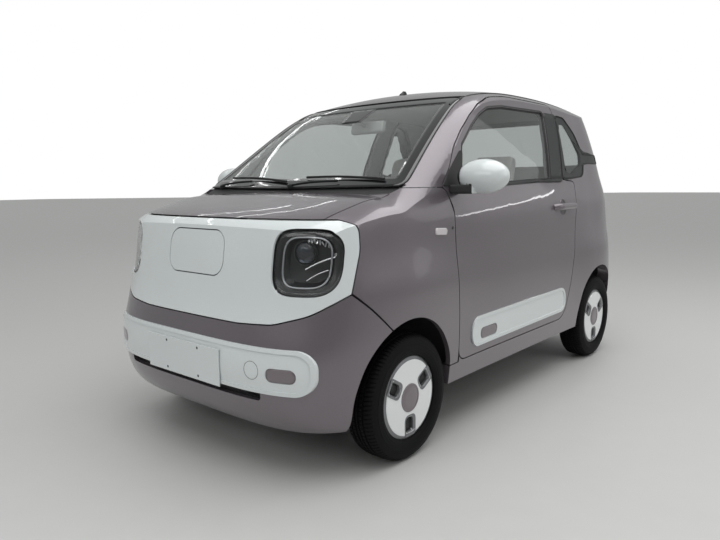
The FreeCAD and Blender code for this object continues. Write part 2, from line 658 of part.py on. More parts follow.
rearAxle = Part.makeCylinder(34, 1130, V(-565, rearAxleY, tyreRadius), V(1, 0, 0))
hub = Part.makeCylinder(44, 76, V(570, rearAxleY, tyreRadius), V(1, 0, 0))
hub = hub.fuse(Part.makeCylinder(20, 126, V(564, rearAxleY, tyreRadius), V(1, 0, 0)))
hub = hub.fuse(Part.makeCylinder(34, 10, V(560, rearAxleY, tyreRadius), V(1, 0, 0)))
hub = hub.fuse(rod(V(430, rearAxleY, tyreRadius), V(430, 560, 300), 20))
hub = hub.fuse(rod(V(440, rearAxleY, tyreRadius), V(440, rearAxleY, 480 - seatGap), 42))
parts["rear_axle"] = rearAxle.fuse(hub).fuse(across(hub))
motor = softBox(-170, 170, rearAxleY - 140, rearAxleY + 150, 280, 470, 20)
parts["drive_motor"] = motor.cut(Part.makeCylinder(34 + seatGap, 1130, V(-565, rearAxleY, tyreRadius), V(1, 0, 0)))
parts["battery_pack"] = softBox(-470, 470, -430, 430, 168, 242 - seatGap, 12)

# Cabin: dashboard, steering wheel, seats
dash = softBox(-600, 600, -652 + seatGap, -410, 760, 955, 40)
dash = dash.fuse(softBox(-110, 110, -560, -330, 420, 800, 30))
dash = dash.fuse(rod(V(steerX, -520, 818), V(steerX, -395, 863), 34))
parts["dashboard"] = dash.cut(wheelhouse)
steerAxis = V(0, 165, 61)
steerAxis.normalize()
rimCentre = V(steerX, -310, 895)
steering = Part.makeTorus(182, 14, rimCentre, steerAxis)
steering = steering.fuse(Part.makeCylinder(62, 34, rimCentre - steerAxis * 30, steerAxis))
steering = steering.fuse(Part.makeCylinder(18, 96, rimCentre - steerAxis * 96, steerAxis))
for angle in (0, 180, 270):
    spoke = Part.makeCylinder(13, 175, rimCentre - steerAxis * 10, V(1, 0, 0))
    spoke.rotate(rimCentre, steerAxis, angle)
    steering = steering.fuse(spoke)
parts["steering_wheel"] = steering
shaft = Part.makeCylinder(40, 400, rimCentre - steerAxis * (96 + seatGap), steerAxis)
parts["dashboard"] = solids(parts["dashboard"].cut(shaft), 1e5)


def seatShape(cx, y0, width):
    cushion = softBox(cx - width / 2, cx + width / 2, y0, y0 + 480, 430, 560, 45)
    base = box(cx - width / 2 + 40, cx + width / 2 - 40, y0 + 60, y0 + 430, 268 + seatGap, 440)
    back = softBox(cx - width / 2, cx + width / 2, y0 + 420, y0 + 540, 470, 1090, 50)
    back.rotate(V(cx, y0 + 480, 480), V(1, 0, 0), -14)
    head = softBox(cx - 125, cx + 125, y0 + 430, y0 + 520, 1080, 1260, 40)
    head.rotate(V(cx, y0 + 480, 480), V(1, 0, 0), -14)
    return cushion.fuse(base).fuse(back).fuse(head)


parts["front_seats"] = bothSides(Part.makeCompound([seatShape(305, -190, 460)]))
bench = softBox(-520, 520, 560, 960, 505 + seatGap, 640, 40)
benchBack = softBox(-520, 520, 910, 1020, 560, 1080, 40)
benchBack.rotate(V(0, 960, 560), V(1, 0, 0), -12)
parts["rear_seat"] = bench.fuse(benchBack).cut(wheelhouse)

os.makedirs("parts", exist_ok=True)
for name, shape in parts.items():
    shape.exportStep("parts/" + name + ".step")
    print(name, len(shape.Solids), round(shape.Volume / 1e6, 2), shape.isValid())
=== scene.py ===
import json
import math
import bmesh
import bpy
from mathutils import Matrix, Vector
from mathutils.bvhtree import BVHTree


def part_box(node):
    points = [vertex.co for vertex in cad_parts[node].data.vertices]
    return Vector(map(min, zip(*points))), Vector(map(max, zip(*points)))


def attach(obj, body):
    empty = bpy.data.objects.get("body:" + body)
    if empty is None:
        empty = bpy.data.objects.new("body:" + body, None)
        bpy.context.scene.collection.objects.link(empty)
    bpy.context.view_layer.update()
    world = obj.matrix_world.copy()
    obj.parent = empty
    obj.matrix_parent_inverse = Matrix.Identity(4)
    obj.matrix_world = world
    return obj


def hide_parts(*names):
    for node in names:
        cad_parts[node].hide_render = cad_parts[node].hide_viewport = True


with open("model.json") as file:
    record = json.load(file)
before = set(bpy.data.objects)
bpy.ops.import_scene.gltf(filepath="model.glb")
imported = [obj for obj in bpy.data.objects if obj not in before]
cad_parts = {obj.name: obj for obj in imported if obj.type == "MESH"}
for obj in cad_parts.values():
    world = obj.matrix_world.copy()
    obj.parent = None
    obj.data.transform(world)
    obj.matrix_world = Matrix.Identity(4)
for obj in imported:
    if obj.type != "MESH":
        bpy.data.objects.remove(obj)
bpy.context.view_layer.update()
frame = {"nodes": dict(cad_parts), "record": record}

nodes = frame["nodes"]
scene = bpy.context.scene
scene.view_settings.view_transform = "Standard"

# which body carries each node
bodies = frame["record"]["behaviour"]["bodies"]
bodyOfNode = {node: body for body, members in bodies.items() for node in members}
sides = {"left": 1, "right": -1}

# camera of the photograph
cameraSettings = {
    "place": (2.1304, -2.8744, 1.0915),
    "azimuth": 40.744,
    "elevation": 7.823,
    "roll": -0.650,
    "lens": 31.312,
}

angles = (math.radians(cameraSettings[label]) for label in ("azimuth", "elevation", "roll"))
azimuth, elevation, roll = angles
back = Vector((math.sin(azimuth) * math.cos(elevation), -math.cos(azimuth) * math.cos(elevation),
               math.sin(elevation)))
right = (-back).cross(Vector((0, 0, 1))).normalized()
axes = Matrix((right, right.cross(-back), back)).transposed() @ Matrix.Rotation(roll, 3, "Z")
data = bpy.data.cameras.new("camera")
data.lens = cameraSettings["lens"]
data.sensor_width = 36
data.clip_start, data.clip_end = 0.05, 60
camera = bpy.data.objects.new("camera", data)
camera.matrix_world = Matrix.Translation(cameraSettings["place"]) @ axes.to_4x4()
scene.collection.objects.link(camera)
scene.camera = camera
print("camera made")

# shader groups shared by the materials


def newGroup(name, inputs, outputs):
    group = bpy.data.node_groups.new(name, "ShaderNodeTree")
    for label, value in inputs.items():
        item = group.interface.new_socket(label, in_out="INPUT", socket_type="NodeSocketFloat")
        item.default_value = value
    for label in outputs:
        group.interface.new_socket(label, in_out="OUTPUT", socket_type="NodeSocketFloat")
    tree = group.nodes
    return group, tree, group.links, tree.new("NodeGroupInput"), tree.new("NodeGroupOutput")


def setInputs(node, values):
    for label, value in values.items():
        node.inputs[label].default_value = value


def feed(links, socket, value):
    if isinstance(value, (int, float)):
        socket.default_value = value
    else:
        links.new(value, socket)


def mathNode(tree, links, operation, a, b):
    node = tree.new("ShaderNodeMath")
    node.operation = operation
    feed(links, node.inputs[0], a)
    feed(links, node.inputs[1], b)
    return node.outputs[0]


def textureNode(tree, links, kind, **inputs):
    node = tree.new("ShaderNodeTex" + kind)
    place = tree.new("ShaderNodeTexCoord")
    links.new(place.outputs["Object"], node.inputs["Vector"])
    for label, value in inputs.items():
        feed(links, node.inputs[label], value)
    return node


# fine speckle of a metallic paint and the slow drift of its tone
def makeFlakeGroup():
    inputs = {"Scale": 900, "Amount": 0.2}
    group, tree, links, start, end = newGroup("paint flakes", inputs, ["Tone", "Height"])
    flakes = textureNode(tree, links, "Voronoi", Scale=start.outputs["Scale"])
    drift = textureNode(tree, links, "Noise", Scale=1.7, Detail=2)
    grey = tree.new("ShaderNodeSeparateColor")
    links.new(flakes.outputs["Color"], grey.inputs[0])
    speckle = mathNode(tree, links, "MULTIPLY", grey.outputs[0], start.outputs["Amount"])
    slow = mathNode(tree, links, "MULTIPLY", drift.outputs["Fac"], 0.35)
    links.new(mathNode(tree, links, "ADD", speckle, slow), end.inputs["Tone"])
    links.new(grey.outputs[1], end.inputs["Height"])
    return group


# moulded grain of plastics and rubber, with a faint dusty unevenness
def makeGrainGroup():
    inputs = {"Scale": 400, "Dust": 0.3}
    group, tree, links, start, end = newGroup("moulded grain", inputs, ["Height", "Mask"])
    pebbles = textureNode(tree, links, "Voronoi", Scale=start.outputs["Scale"])
    pebbles.feature = "SMOOTH_F1"
    cloud = textureNode(tree, links, "Noise", Scale=9, Detail=6)
    dust = mathNode(tree, links, "MULTIPLY", cloud.outputs["Fac"], start.outputs["Dust"])
    links.new(pebbles.outputs["Distance"], end.inputs["Height"])
    links.new(dust, end.inputs["Mask"])
    return group


# over and under threads of a woven cloth
def makeWeaveGroup():
    group, tree, links, start, end = newGroup("cloth weave", {"Scale": 300}, ["Height", "Mask"])
    waves = []
    for direction in ("X", "Y", "Z"):
        wave = textureNode(tree, links, "Wave", Scale=start.outputs["Scale"], Distortion=0.6, Detail=1)
        wave.bands_direction = direction
        waves.append(wave.outputs["Fac"])
    level = mathNode(tree, links, "ADD", waves[0], waves[1])
    crossed = mathNode(tree, links, "MULTIPLY", level, waves[2])
    slub = textureNode(tree, links, "Noise", Scale=22)
    links.new(crossed, end.inputs["Height"])
    links.new(slub.outputs["Fac"], end.inputs["Mask"])
    return group


flakeGroup = makeFlakeGroup()
grainGroup = makeGrainGroup()
weaveGroup = makeWeaveGroup()

# materials


def startMaterial(name, color, roughness, metallic=0.0, coat=0.0):
    material = bpy.data.materials.new(name)
    material.use_nodes = True
    tree = material.node_tree.nodes
    shader = tree["Principled BSDF"]
    setInputs(shader, {"Base Color": (*color, 1), "Roughness": roughness, "Metallic": metallic,
                       "Coat Weight": coat, "Coat Roughness": 0.03})
    material.diffuse_color = (*color, 1)
    return material, tree, material.node_tree.links, shader


def scaled(color, k):
    return tuple(min(1.0, c * k) for c in color)


# a material whose tone and roughness follow a mask of a shared group, and its bump the group's height
def makeVaried(name, color, tones, roughness, spread, group, mask, settings, bump=None,
               metallic=0.0, coat=0.0):
    material, tree, links, shader = startMaterial(name, color, roughness, metallic, coat)
    detail = tree.new("ShaderNodeGroup")
    detail.node_tree = group
    setInputs(detail, settings)
    mix = tree.new("ShaderNodeMix")
    mix.data_type = "RGBA"
    setInputs(mix, {"A": (*tones[0], 1), "B": (*tones[1], 1)})
    links.new(detail.outputs[mask], mix.inputs["Factor"])
    links.new(mix.outputs["Result"], shader.inputs["Base Color"])
    span = tree.new("ShaderNodeMapRange")
    setInputs(span, {"To Min": roughness + spread[0], "To Max": roughness + spread[1]})
    links.new(detail.outputs[mask], span.inputs["Value"])
    links.new(span.outputs["Result"], shader.inputs["Roughness"])
    if bump:
        relief = tree.new("ShaderNodeBump")
        setInputs(relief, {"Strength": bump[0], "Distance": bump[1]})
        links.new(detail.outputs["Height"], relief.inputs["Height"])
        links.new(relief.outputs["Normal"], shader.inputs["Normal"])
    return material


def makePaint(name, color, metallic, roughness, flake):
    tones = (scaled(color, 0.86), scaled(color, 1.18))
    settings = {"Scale": 900, "Amount": flake}
    return makeVaried(name, color, tones, roughness, (-0.04, 0.06), flakeGroup, "Tone", settings,
                      (0.05, 0.0002), metallic, 1.0)


def makePlastic(name, color, roughness, grain, dust, bump=0.12, coat=0.0):
    tones = (color, tuple(c * 1.25 + 0.01 for c in color))
    settings = {"Scale": grain, "Dust": dust}
    return makeVaried(name, color, tones, roughness, (-0.03, 0.12), grainGroup, "Mask", settings,
                      (bump, 0.0006), 0.0, coat)


def makeMetal(name, color, roughness, dust):
    tones = (color, scaled(color, 0.8))
    settings = {"Scale": 700, "Dust": dust}
    return makeVaried(name, color, tones, roughness, (0, 0.15), grainGroup, "Mask", settings, None, 1.0)


def makeCloth(name, color, scale):
    tones = (scaled(color, 0.85), scaled(color, 1.12))
    material = makeVaried(name, color, tones, 0.85, (-0.1, 0.1), weaveGroup, "Mask", {"Scale": scale},
                          (0.25, 0.0008))
    setInputs(material.node_tree.nodes["Principled BSDF"], {"Sheen Weight": 0.3})
    return material


def mixByRay(tree, links, ray, first, second, output):
    paths = tree.new("ShaderNodeLightPath")
    mix = tree.new("ShaderNodeMixShader")
    links.new(paths.outputs[ray], mix.inputs["Fac"])
    links.new(first.outputs[0], mix.inputs[1])
    links.new(second.outputs[0], mix.inputs[2])
    links.new(mix.outputs[0], tree[output].inputs["Surface"])


# clear glass that lets light pass to what stands behind it
def makeGlass(name, color, ior=1.45, passing=True):
    material, tree, links, shader = startMaterial(name, color, 0.0)
    setInputs(shader, {"Transmission Weight": 1.0, "IOR": ior})
    if passing:
        clear = tree.new("ShaderNodeBsdfTransparent")
        setInputs(clear, {"Color": (*scaled(color, 0.97), 1)})
        mixByRay(tree, links, "Is Shadow Ray", shader, clear, "Material Output")
    return material


paintValues = {"mauve": (0.185, 0.163, 0.181), "pearl": (0.70, 0.745, 0.75)}
mauvePaint = makePaint("mauve paint", paintValues["mauve"], 0.55, 0.33, 0.35)
pearlPaint = makePaint("pearl paint", paintValues["pearl"], 0.0, 0.28, 0.12)
# the handle cup's dark mauve is painted shade, standing in for the shadow in the cup's recess
cupShadePaint = makePaint("shaded handle cup", (0.052, 0.043, 0.050), 0.5, 0.42, 0.3)
pillPaint = makePaint("satin mauve insert", (0.20, 0.17, 0.185), 0.45, 0.45, 0.4)
satinBlack = makePlastic("satin black trim", (0.010, 0.011, 0.012), 0.40, 900, 0.25, 0.04)
grainBlack = makePlastic("grained black plastic", (0.018, 0.018, 0.019), 0.58, 650, 0.5, 0.25)
gloss = makePlastic("gloss black", (0.008, 0.008, 0.009), 0.10, 900, 0.1, 0.01, 1.0)
rubber = makePlastic("tyre rubber", (0.0012, 0.0012, 0.0015), 0.72, 500, 0.1, 0.2)
setInputs(rubber.node_tree.nodes["Principled BSDF"], {"Specular IOR Level": 0.22})
sealRubber = makePlastic("seal rubber", (0.012, 0.012, 0.012), 0.55, 800, 0.2, 0.1)
dashPlastic = makePlastic("dashboard plastic", (0.045, 0.047, 0.05), 0.55, 500, 0.3, 0.3)
lightTrim = makePlastic("light cabin trim", (0.33, 0.33, 0.32), 0.6, 500, 0.3, 0.2)
coverWhite = makePaint("white wheel cover", (0.84, 0.87, 0.87), 0.0, 0.3, 0.08)
silver = makeMetal("silver rim", (0.50, 0.51, 0.53), 0.30, 0.4)
rimMetal = makeMetal("grey rim", (0.27, 0.275, 0.285), 0.34, 0.4)
chrome = makeMetal("bright metal", (0.80, 0.80, 0.82), 0.06, 0.1)
castIron = makePlastic("coated iron", (0.03, 0.03, 0.032), 0.5, 250, 0.7, 0.35)
alloy = makeMetal("cast alloy", (0.42, 0.42, 0.43), 0.42, 0.6)
floorSheet = makePlastic("underbody coating", (0.03, 0.03, 0.03), 0.7, 180, 0.6, 0.4)
carpet = makeCloth("cabin carpet", (0.05, 0.05, 0.052), 260)
seatCloth = makeCloth("light seat cloth", (0.50, 0.49, 0.47), 380)
seatSide = makeCloth("grey seat side cloth", (0.30, 0.30, 0.30), 380)
headCloth = makeCloth("headlining", (0.42, 0.42, 0.40), 420)
clearGlass = makeGlass("window glass", (0.90, 0.935, 0.925))
lampGlass = makeGlass("lamp cover", (0.97, 0.98, 0.98))
darkLens = makeGlass("projector lens", (0.55, 0.62, 0.75), 1.5, False)
lampBlack = makePlastic("lamp interior", (0.004, 0.004, 0.005), 0.35, 900, 0.1, 0.02)
redPlastic = makePlastic("red reflector", (0.30, 0.012, 0.012), 0.15, 900, 0.1, 0.02, 1.0)
redGlass = makeGlass("red lamp cover", (0.62, 0.02, 0.02))
mirrorFace = makeMetal("mirror face", (0.88, 0.9, 0.9), 0.01, 0.02)
amber = makePlastic("pale marker lens", (0.62, 0.58, 0.60), 0.15, 900, 0.1, 0.02, 1.0)
print("materials made")

# making pieces


def placePiece(name, mesh, material, body, smooth):
    tidy = bmesh.new()
    tidy.from_mesh(mesh)
    bmesh.ops.recalc_face_normals(tidy, faces=tidy.faces)
    tidy.to_mesh(mesh)
    tidy.free()
    mesh.shade_smooth()
    mesh.set_sharp_from_angle(angle=math.radians(smooth))
    mesh.materials.append(material)
    piece = bpy.data.objects.new(name, mesh)
    scene.collection.objects.link(piece)
    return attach(piece, body)


def makePiece(name, verts, faces, material, body, smooth=35):
    mesh = bpy.data.meshes.new(name)
    mesh.from_pydata([tuple(v) for v in verts], [], faces)
    mesh.validate()
    return placePiece(name, mesh, material, body, smooth)


def addSolid(piece, thickness, offset=-1):
    solid = piece.modifiers.new("solid", "SOLIDIFY")
    solid.thickness = thickness
    solid.offset = offset
    return piece


# faces with four sides between rows of points
def gridFaces(rows, count, loopRows=False, loopCount=True):
    faces = []
    for row in range(rows if loopRows else rows - 1):
        a, b = row * count, (row + 1) % rows * count
        for i in range(count if loopCount else count - 1):
            j = (i + 1) % count
            faces.append((a + i, a + j, b + j, b + i))
    return faces


# faces with three sides from the last row to the point after it
def fanFaces(rows, count):
    last = (rows - 1) * count
    return [(last + i, last + (i + 1) % count, rows * count) for i in range(count)]


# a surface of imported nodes, with the view from which pieces are laid on it
def surfaceOf(view, names):
    verts, faces = [], []
    for name in names:
        mesh = nodes[name].data
        base = len(verts)
        verts += [v.co.copy() for v in mesh.vertices]
        faces += [tuple(base + i for i in p.vertices) for p in mesh.polygons]
    return BVHTree.FromPolygons(verts, faces), view


# the axis along which each view looks, and where on it the view starts
rayStarts = {"left": (0, 1.4), "right": (0, -1.4), "front": (1, -2.2), "rear": (1, 2.2), "top": (2, 2.2)}


def landOn(surface, u, v, lift=0.0):
    tree, view = surface
    across, depth = rayStarts[view]
    direction = Vector((0, 0, 0))
    direction[across] = -1 if depth > 0 else 1

    def start(u, v):
        place = [u, v]
        place.insert(across, depth)
        return Vector(place)

    hit, normal = tree.ray_cast(start(u, v), direction)[:2]
    # just outside an edge the depth of the nearest hit beside the point is taken
    for reach in (0.0008, 0.002, 0.004, 0.008, 0.016):
        for i in range(8):
            if hit is not None:
                break
            side = Vector((math.cos(i * math.pi / 4), math.sin(i * math.pi / 4))) * reach
            beside, normal = tree.ray_cast(start(u + side.x, v + side.y), direction)[:2]
            if beside is not None:
                hit = start(u, v) + direction * (beside - start(u, v)).dot(direction)
    if hit is None:
        hit, normal = tree.find_nearest(start(u, v) + direction * 0.7)[:2]
    if normal.dot(direction) > 0:
        normal = -normal
    return hit + normal * lift


def landAll(surface, points, lift=0.0):
    return [landOn(surface, p.x, p.y, lift) for p in points]


# corners (u, v, radius) in millimetres as points of a smooth outline in metres, k = -1 for its mirror image
def roundOutline(corners, k=1, steps=6):
    points = []
    n = len(corners)
    places = [Vector((k * u / 1000, v / 1000)) for u, v, radius in corners]
    for i in range(n):
        p, c, q = places[i - 1], places[i], places[(i + 1) % n]
        radius = corners[i][2] / 1000
        a, b = p - c, q - c
        turn = a.angle(b)
        reach = radius / math.tan(turn / 2) if turn < 3.1 else 0
        reach = min(reach, a.length * 0.48, b.length * 0.48)
        if reach < 1e-5:
            points.append(c)
            continue
        start, end = c + a.normalized() * reach, c + b.normalized() * reach
        for m in range(steps + 1):
            t = m / steps
            points.append(start * (1 - t) ** 2 + c * 2 * t * (1 - t) + end * t * t)
    return points


# the outline of those corners as a number of points at even distances
def outlineOf(corners, count, k=1):
    loop = roundOutline(corners, k)
    loop.append(loop[0])
    lengths = [0.0]
    for a, b in zip(loop, loop[1:]):
        lengths.append(lengths[-1] + (b - a).length)
    out, m = [], 0
    for i in range(count):
        target = lengths[-1] * i / count
        while m < len(lengths) - 2 and lengths[m + 1] < target:
            m += 1
        span = lengths[m + 1] - lengths[m]
        t = (target - lengths[m]) / span if span > 1e-9 else 0
        out.append(loop[m].lerp(loop[m + 1], t))
    return out


def inset(points, distance):
    n = len(points)
    area = sum(points[i - 1].x * points[i].y - points[i].x * points[i - 1].y for i in range(n))
    sign = 1 if area > 0 else -1
    out = []
    for i in range(n):
        edge = points[(i + 1) % n] - points[i - 1]
        side = Vector((-edge.y, edge.x)).normalized() * sign
        out.append(points[i] + side * distance)
    return out


# a rounded ring; power 1 makes it an ellipse
def squircle(cx, cz, width, height, count=96, power=0.56):
    def reach(value):
        return math.copysign(abs(value) ** power, value) / 2

    turns = [2 * math.pi * i / count for i in range(count)]
    return [Vector((cx + width * reach(math.cos(t)), cz + height * reach(math.sin(t)))) for t in turns]


# points from a to b, bowed in the middle
def bowed(a, b, bow, steps):
    a, b = Vector(a), Vector(b)
    fractions = [i / steps for i in range(steps + 1)]
    return [a.lerp(b, t) + Vector((0, bow * math.sin(math.pi * t))) for t in fractions]


def tiltBy(degrees):
    return Matrix.Rotation(math.radians(degrees), 3, "X")


# two directions square to an axis
def acrossOf(axis):
    helper = Vector((0, 0, 1)) if abs(axis.z) < 0.9 else Vector((1, 0, 0))
    a = axis.cross(helper).normalized()
    return a, axis.cross(a)


# a band between two outlines of the same count, laid on a surface
def layBand(name, outer, inner, surface, lift, thickness, material, body="car_body", rows=3):
    verts = []
    for row in range(rows + 1):
        verts += landAll(surface, [a.lerp(b, row / rows) for a, b in zip(outer, inner)], lift)
    piece = makePiece(name, verts, gridFaces(rows + 1, len(outer)), material, body)
    return addSolid(piece, thickness)


# a filled outline laid on a surface, shrinking in rings towards its middle
def layPatch(name, outline, surface, lift, thickness, material, body="car_body", rings=4):
    middle = sum(outline, Vector((0, 0))) / len(outline)
    verts = []
    for ring in range(rings):
        verts += landAll(surface, [p.lerp(middle, ring / rings) for p in outline], lift)
    verts += landAll(surface, [middle], lift)
    faces = gridFaces(rings, len(outline)) + fanFaces(rings, len(outline))
    return addSolid(makePiece(name, verts, faces, material, body), thickness)


# a round cord along points in space
def layTube(name, points, radius, material, body="car_body", closed=False, edges=8):
    points = [Vector(p) for p in points]
    n = len(points)
    verts = []
    for i, p in enumerate(points):
        before = points[i - 1] if closed or i else p
        after = points[(i + 1) % n] if closed or i < n - 1 else p
        a, b = acrossOf((after - before).normalized())
        for m in range(edges):
            t = 2 * math.pi * m / edges
            verts.append(p + a * radius * math.cos(t) + b * radius * math.sin(t))
    faces = gridFaces(n, edges, closed)
    if not closed:
        faces += [tuple(range(edges)), tuple(range((n - 1) * edges, n * edges))]
    return makePiece(name, verts, faces, material, body, 60)


# a box with rounded edges, on axes of its own
def softBlock(name, size, radius, place, material, segments=4, axes=None, body="car_body"):
    form = bmesh.new()
    bmesh.ops.create_cube(form, size=1)
    bmesh.ops.scale(form, vec=size, verts=form.verts)
    bmesh.ops.bevel(form, geom=form.edges[:], offset=radius, segments=segments, affect="EDGES", profile=0.5)
    turn = (axes or Matrix.Identity(3)).to_4x4()
    bmesh.ops.transform(form, matrix=Matrix.Translation(place) @ turn, verts=form.verts)
    mesh = bpy.data.meshes.new(name)
    form.to_mesh(mesh)
    form.free()
    return placePiece(name, mesh, material, body, 40)


# a turned profile of (along, radius) in millimetres about an axis through a point
def turned(name, profile, place, axis, material, body="car_body", count=48, closed=False, smooth=35):
    axis = Vector(axis).normalized()
    a, b = acrossOf(axis)
    verts = []
    for m in range(count):
        t = 2 * math.pi * m / count
        out = a * math.cos(t) + b * math.sin(t)
        verts += [Vector(place) + (axis * along + out * radius) / 1000 for along, radius in profile]
    return makePiece(name, verts, gridFaces(count, len(profile), True, closed), material, body, smooth)


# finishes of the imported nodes
finishes = [
    (mauvePaint, "door_left door_right body_side_left body_side_right roof fender_left fender_right bonnet "
                 "front_bumper tailgate rear_bumper"),
    (pearlPaint, "door_trim_left door_trim_right front_panel front_bumper_trim charge_flap"),
    (clearGlass, "door_glass_left door_glass_right quarter_glass windscreen tailgate_glass"),
    (grainBlack, "black_trim arch_liners steering_wheel"),
    (dashPlastic, "dashboard"),
    (floorSheet, "floor_pan battery_pack"),
    (castIron, "knuckle_left knuckle_right front_suspension rear_axle"),
    (alloy, "drive_motor"),
    (coverWhite, " ".join(n for n in nodes if n.startswith("wheel_"))),
]
for material, names in finishes:
    for name in names.split():
        mesh = nodes[name].data
        mesh.materials.clear()
        mesh.materials.append(material)
        mesh.shade_smooth()
        mesh.set_sharp_from_angle(angle=math.radians(28))


# gives the faces that a rule picks another material
def refinish(name, material, rule):
    mesh = nodes[name].data
    mesh.materials.append(material)
    index = len(mesh.materials) - 1
    for face in mesh.polygons:
        if rule(face.center, face.normal):
            face.material_index = index


# the foot and the sail of a door mirror
def nearMirrorFoot(c, n):
    return c.z > 0.9 and (abs(c.x) < 0.80 and c.z < 1.085 or abs(c.x) < 0.735)


for side, k in sides.items():
    refinish("door_" + side, lightTrim, lambda c, n: n.x * k < -0.4)
    refinish("body_side_" + side, lightTrim, lambda c, n: n.x * k < -0.4 and c.z > 0.3)
    refinish("door_trim_" + side, grainBlack, nearMirrorFoot)
refinish("roof", headCloth, lambda c, n: n.z < -0.3)
refinish("tailgate", lightTrim, lambda c, n: n.y < -0.3)
refinish("floor_pan", carpet, lambda c, n: n.z > 0.5 or n.y > 0.5)
print("nodes finished")

# tyres with tread and sidewall, and the wheels' dress
tyreValues = {
    "radius": 0.254, "halfWidth": 0.0725, "rim": 0.168, "blocks": 92, "groove": 0.0058, "lead": 0.010,
    # millimetres in from the side, with height over the rim or depth under the tread
    "sidewall": [(12, -1), (7, 4), (3, 14), (2.6, 15.5), (1.6, 17), (1.4, 24), (0.2, 25.5), (0, 36),
                 (0.2, 44), (1.8, 45.5), (3, 56), (5, 60)],
    "shoulder": [(8.5, 14.8), (12.5, 10.5), (19, 5.5), (29, 2.8), (39, 1.4)],
    # the same with the kind, 2 a groove and 3 a block
    "ribs": [(40, 1.2, 2), (47, 0.8, 2), (48, 0.7, 3), (60, 0.2, 3), (61, 0.1, 2), (68, 0, 2), (69, 0, 3)],
}
wheelValues = {
    "rimLip": [(-12.5, 168.8), (-8.5, 169.2), (-6.6, 168.6), (-5.2, 166.8), (-4.5, 164), (-2.8, 160),
               (-1, 156), (-0.2, 153.2), (-1.2, 151.8), (-4, 151.2)],
    "hubCap": [(-2, 57.5), (1.2, 57.3), (2.2, 56), (2.2, 51), (1, 49.8), (1.2, 48.5), (3, 45.5),
               (3.8, 30), (4, 0.3)],
    # depth, half width, lower and upper edge and corner
    "slotFrame": [(-6, 35.5, 69, 156, 26), (1, 35.5, 69, 156, 26), (1.6, 34.5, 70, 155.5, 25),
                  (1, 30.5, 73.5, 143.8, 22), (-4, 23.5, 81, 139, 19), (-16, 20.5, 84, 136.5, 17)],
    "slotBack": (-13.5, 22.5, 82.2, 136.8, 18),
}


def makeTyre(name, centre, k, body, values):
    r, h, rim, groove = (values[label] for label in ("radius", "halfWidth", "rim", "groove"))
    across = [(a / 1000 - h, rim + b / 1000, 0) for a, b in values["sidewall"]]
    across += [(a / 1000 - h, r - b / 1000, 1) for a, b in values["shoulder"]]
    across += [(a / 1000 - h, r - b / 1000, kind) for a, b, kind in values["ribs"]]
    rows = across + [(-a, b, c) for a, b, c in reversed(across)]
    steps = values["blocks"] * 4
    verts = []
    for i in range(steps):
        for a, radius, kind in rows:
            phase = (i + (2 if a > 0 else 0) + (1 if kind == 3 else 0)) % 4
            if kind == 2:
                radius -= groove
            elif kind == 1 and phase == 0 and radius > r - 0.013:  # the outermost row stays whole
                radius -= groove * 0.8
            elif kind == 3 and phase == 0:
                radius -= groove * 0.5
            lead = values["lead"] * a / h if kind else 0
            t = 2 * math.pi * i / steps + lead / r
            verts.append(centre + Vector((k * a, radius * math.sin(t), radius * math.cos(t))))
    # the last column closes the ring at the bore
    return makePiece(name, verts, gridFaces(steps, len(rows), True), rubber, body, 32)


# an outline round a slot in the plane of the wheel, v outwards from the hub
def slotLoop(hub, out, spin, ring):
    depth, half, low, high, corner = ring
    corners = [(-half, low, corner), (half, low, corner)]
    corners += [(half, high, corner / 2), (-half, high, corner / 2)]
    return [hub + out * (depth / 1000) + spin @ Vector((0, q.x, q.y)) for q in outlineOf(corners, 56)]


def dressWheel(tag, hub, out, body, values):
    turned("rim_lip_" + tag, values["rimLip"], hub, out, rimMetal, body, 96)
    turned("hub_cap_" + tag, values["hubCap"], hub, out, pillPaint, body, 64)
    for step in range(3):
        spin = tiltBy((60 + 120 * step) * out.x)
        loops = [slotLoop(hub, out, spin, ring) for ring in values["slotFrame"]]
        faces = gridFaces(len(loops), len(loops[0]))
        makePiece("slot_frame_%s_%d" % (tag, step), sum(loops, []), faces, rimMetal, body, 40)
        back = slotLoop(hub, out, spin, values["slotBack"])
        face = tuple(range(len(back)))
        plate = makePiece("slot_back_%s_%d" % (tag, step), back, [face], grainBlack, body)
        addSolid(plate, 0.001, 0)


for tag in [name[6:] for name in nodes if name.startswith("wheel_")]:
    k = 1 if tag.endswith("left") else -1
    body = bodyOfNode["wheel_" + tag]
    low, high = (Vector(corner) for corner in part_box("wheel_" + tag))
    centre = (low + high) / 2
    tyre = makeTyre("tyre_tread_" + tag, centre, k, body, tyreValues)
    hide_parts("tyre_" + tag)
    hub = Vector((high.x if k > 0 else low.x, centre.y, centre.z))
    dressWheel(tag, hub, Vector((k, 0, 0)), body, wheelValues)
print("wheels dressed")

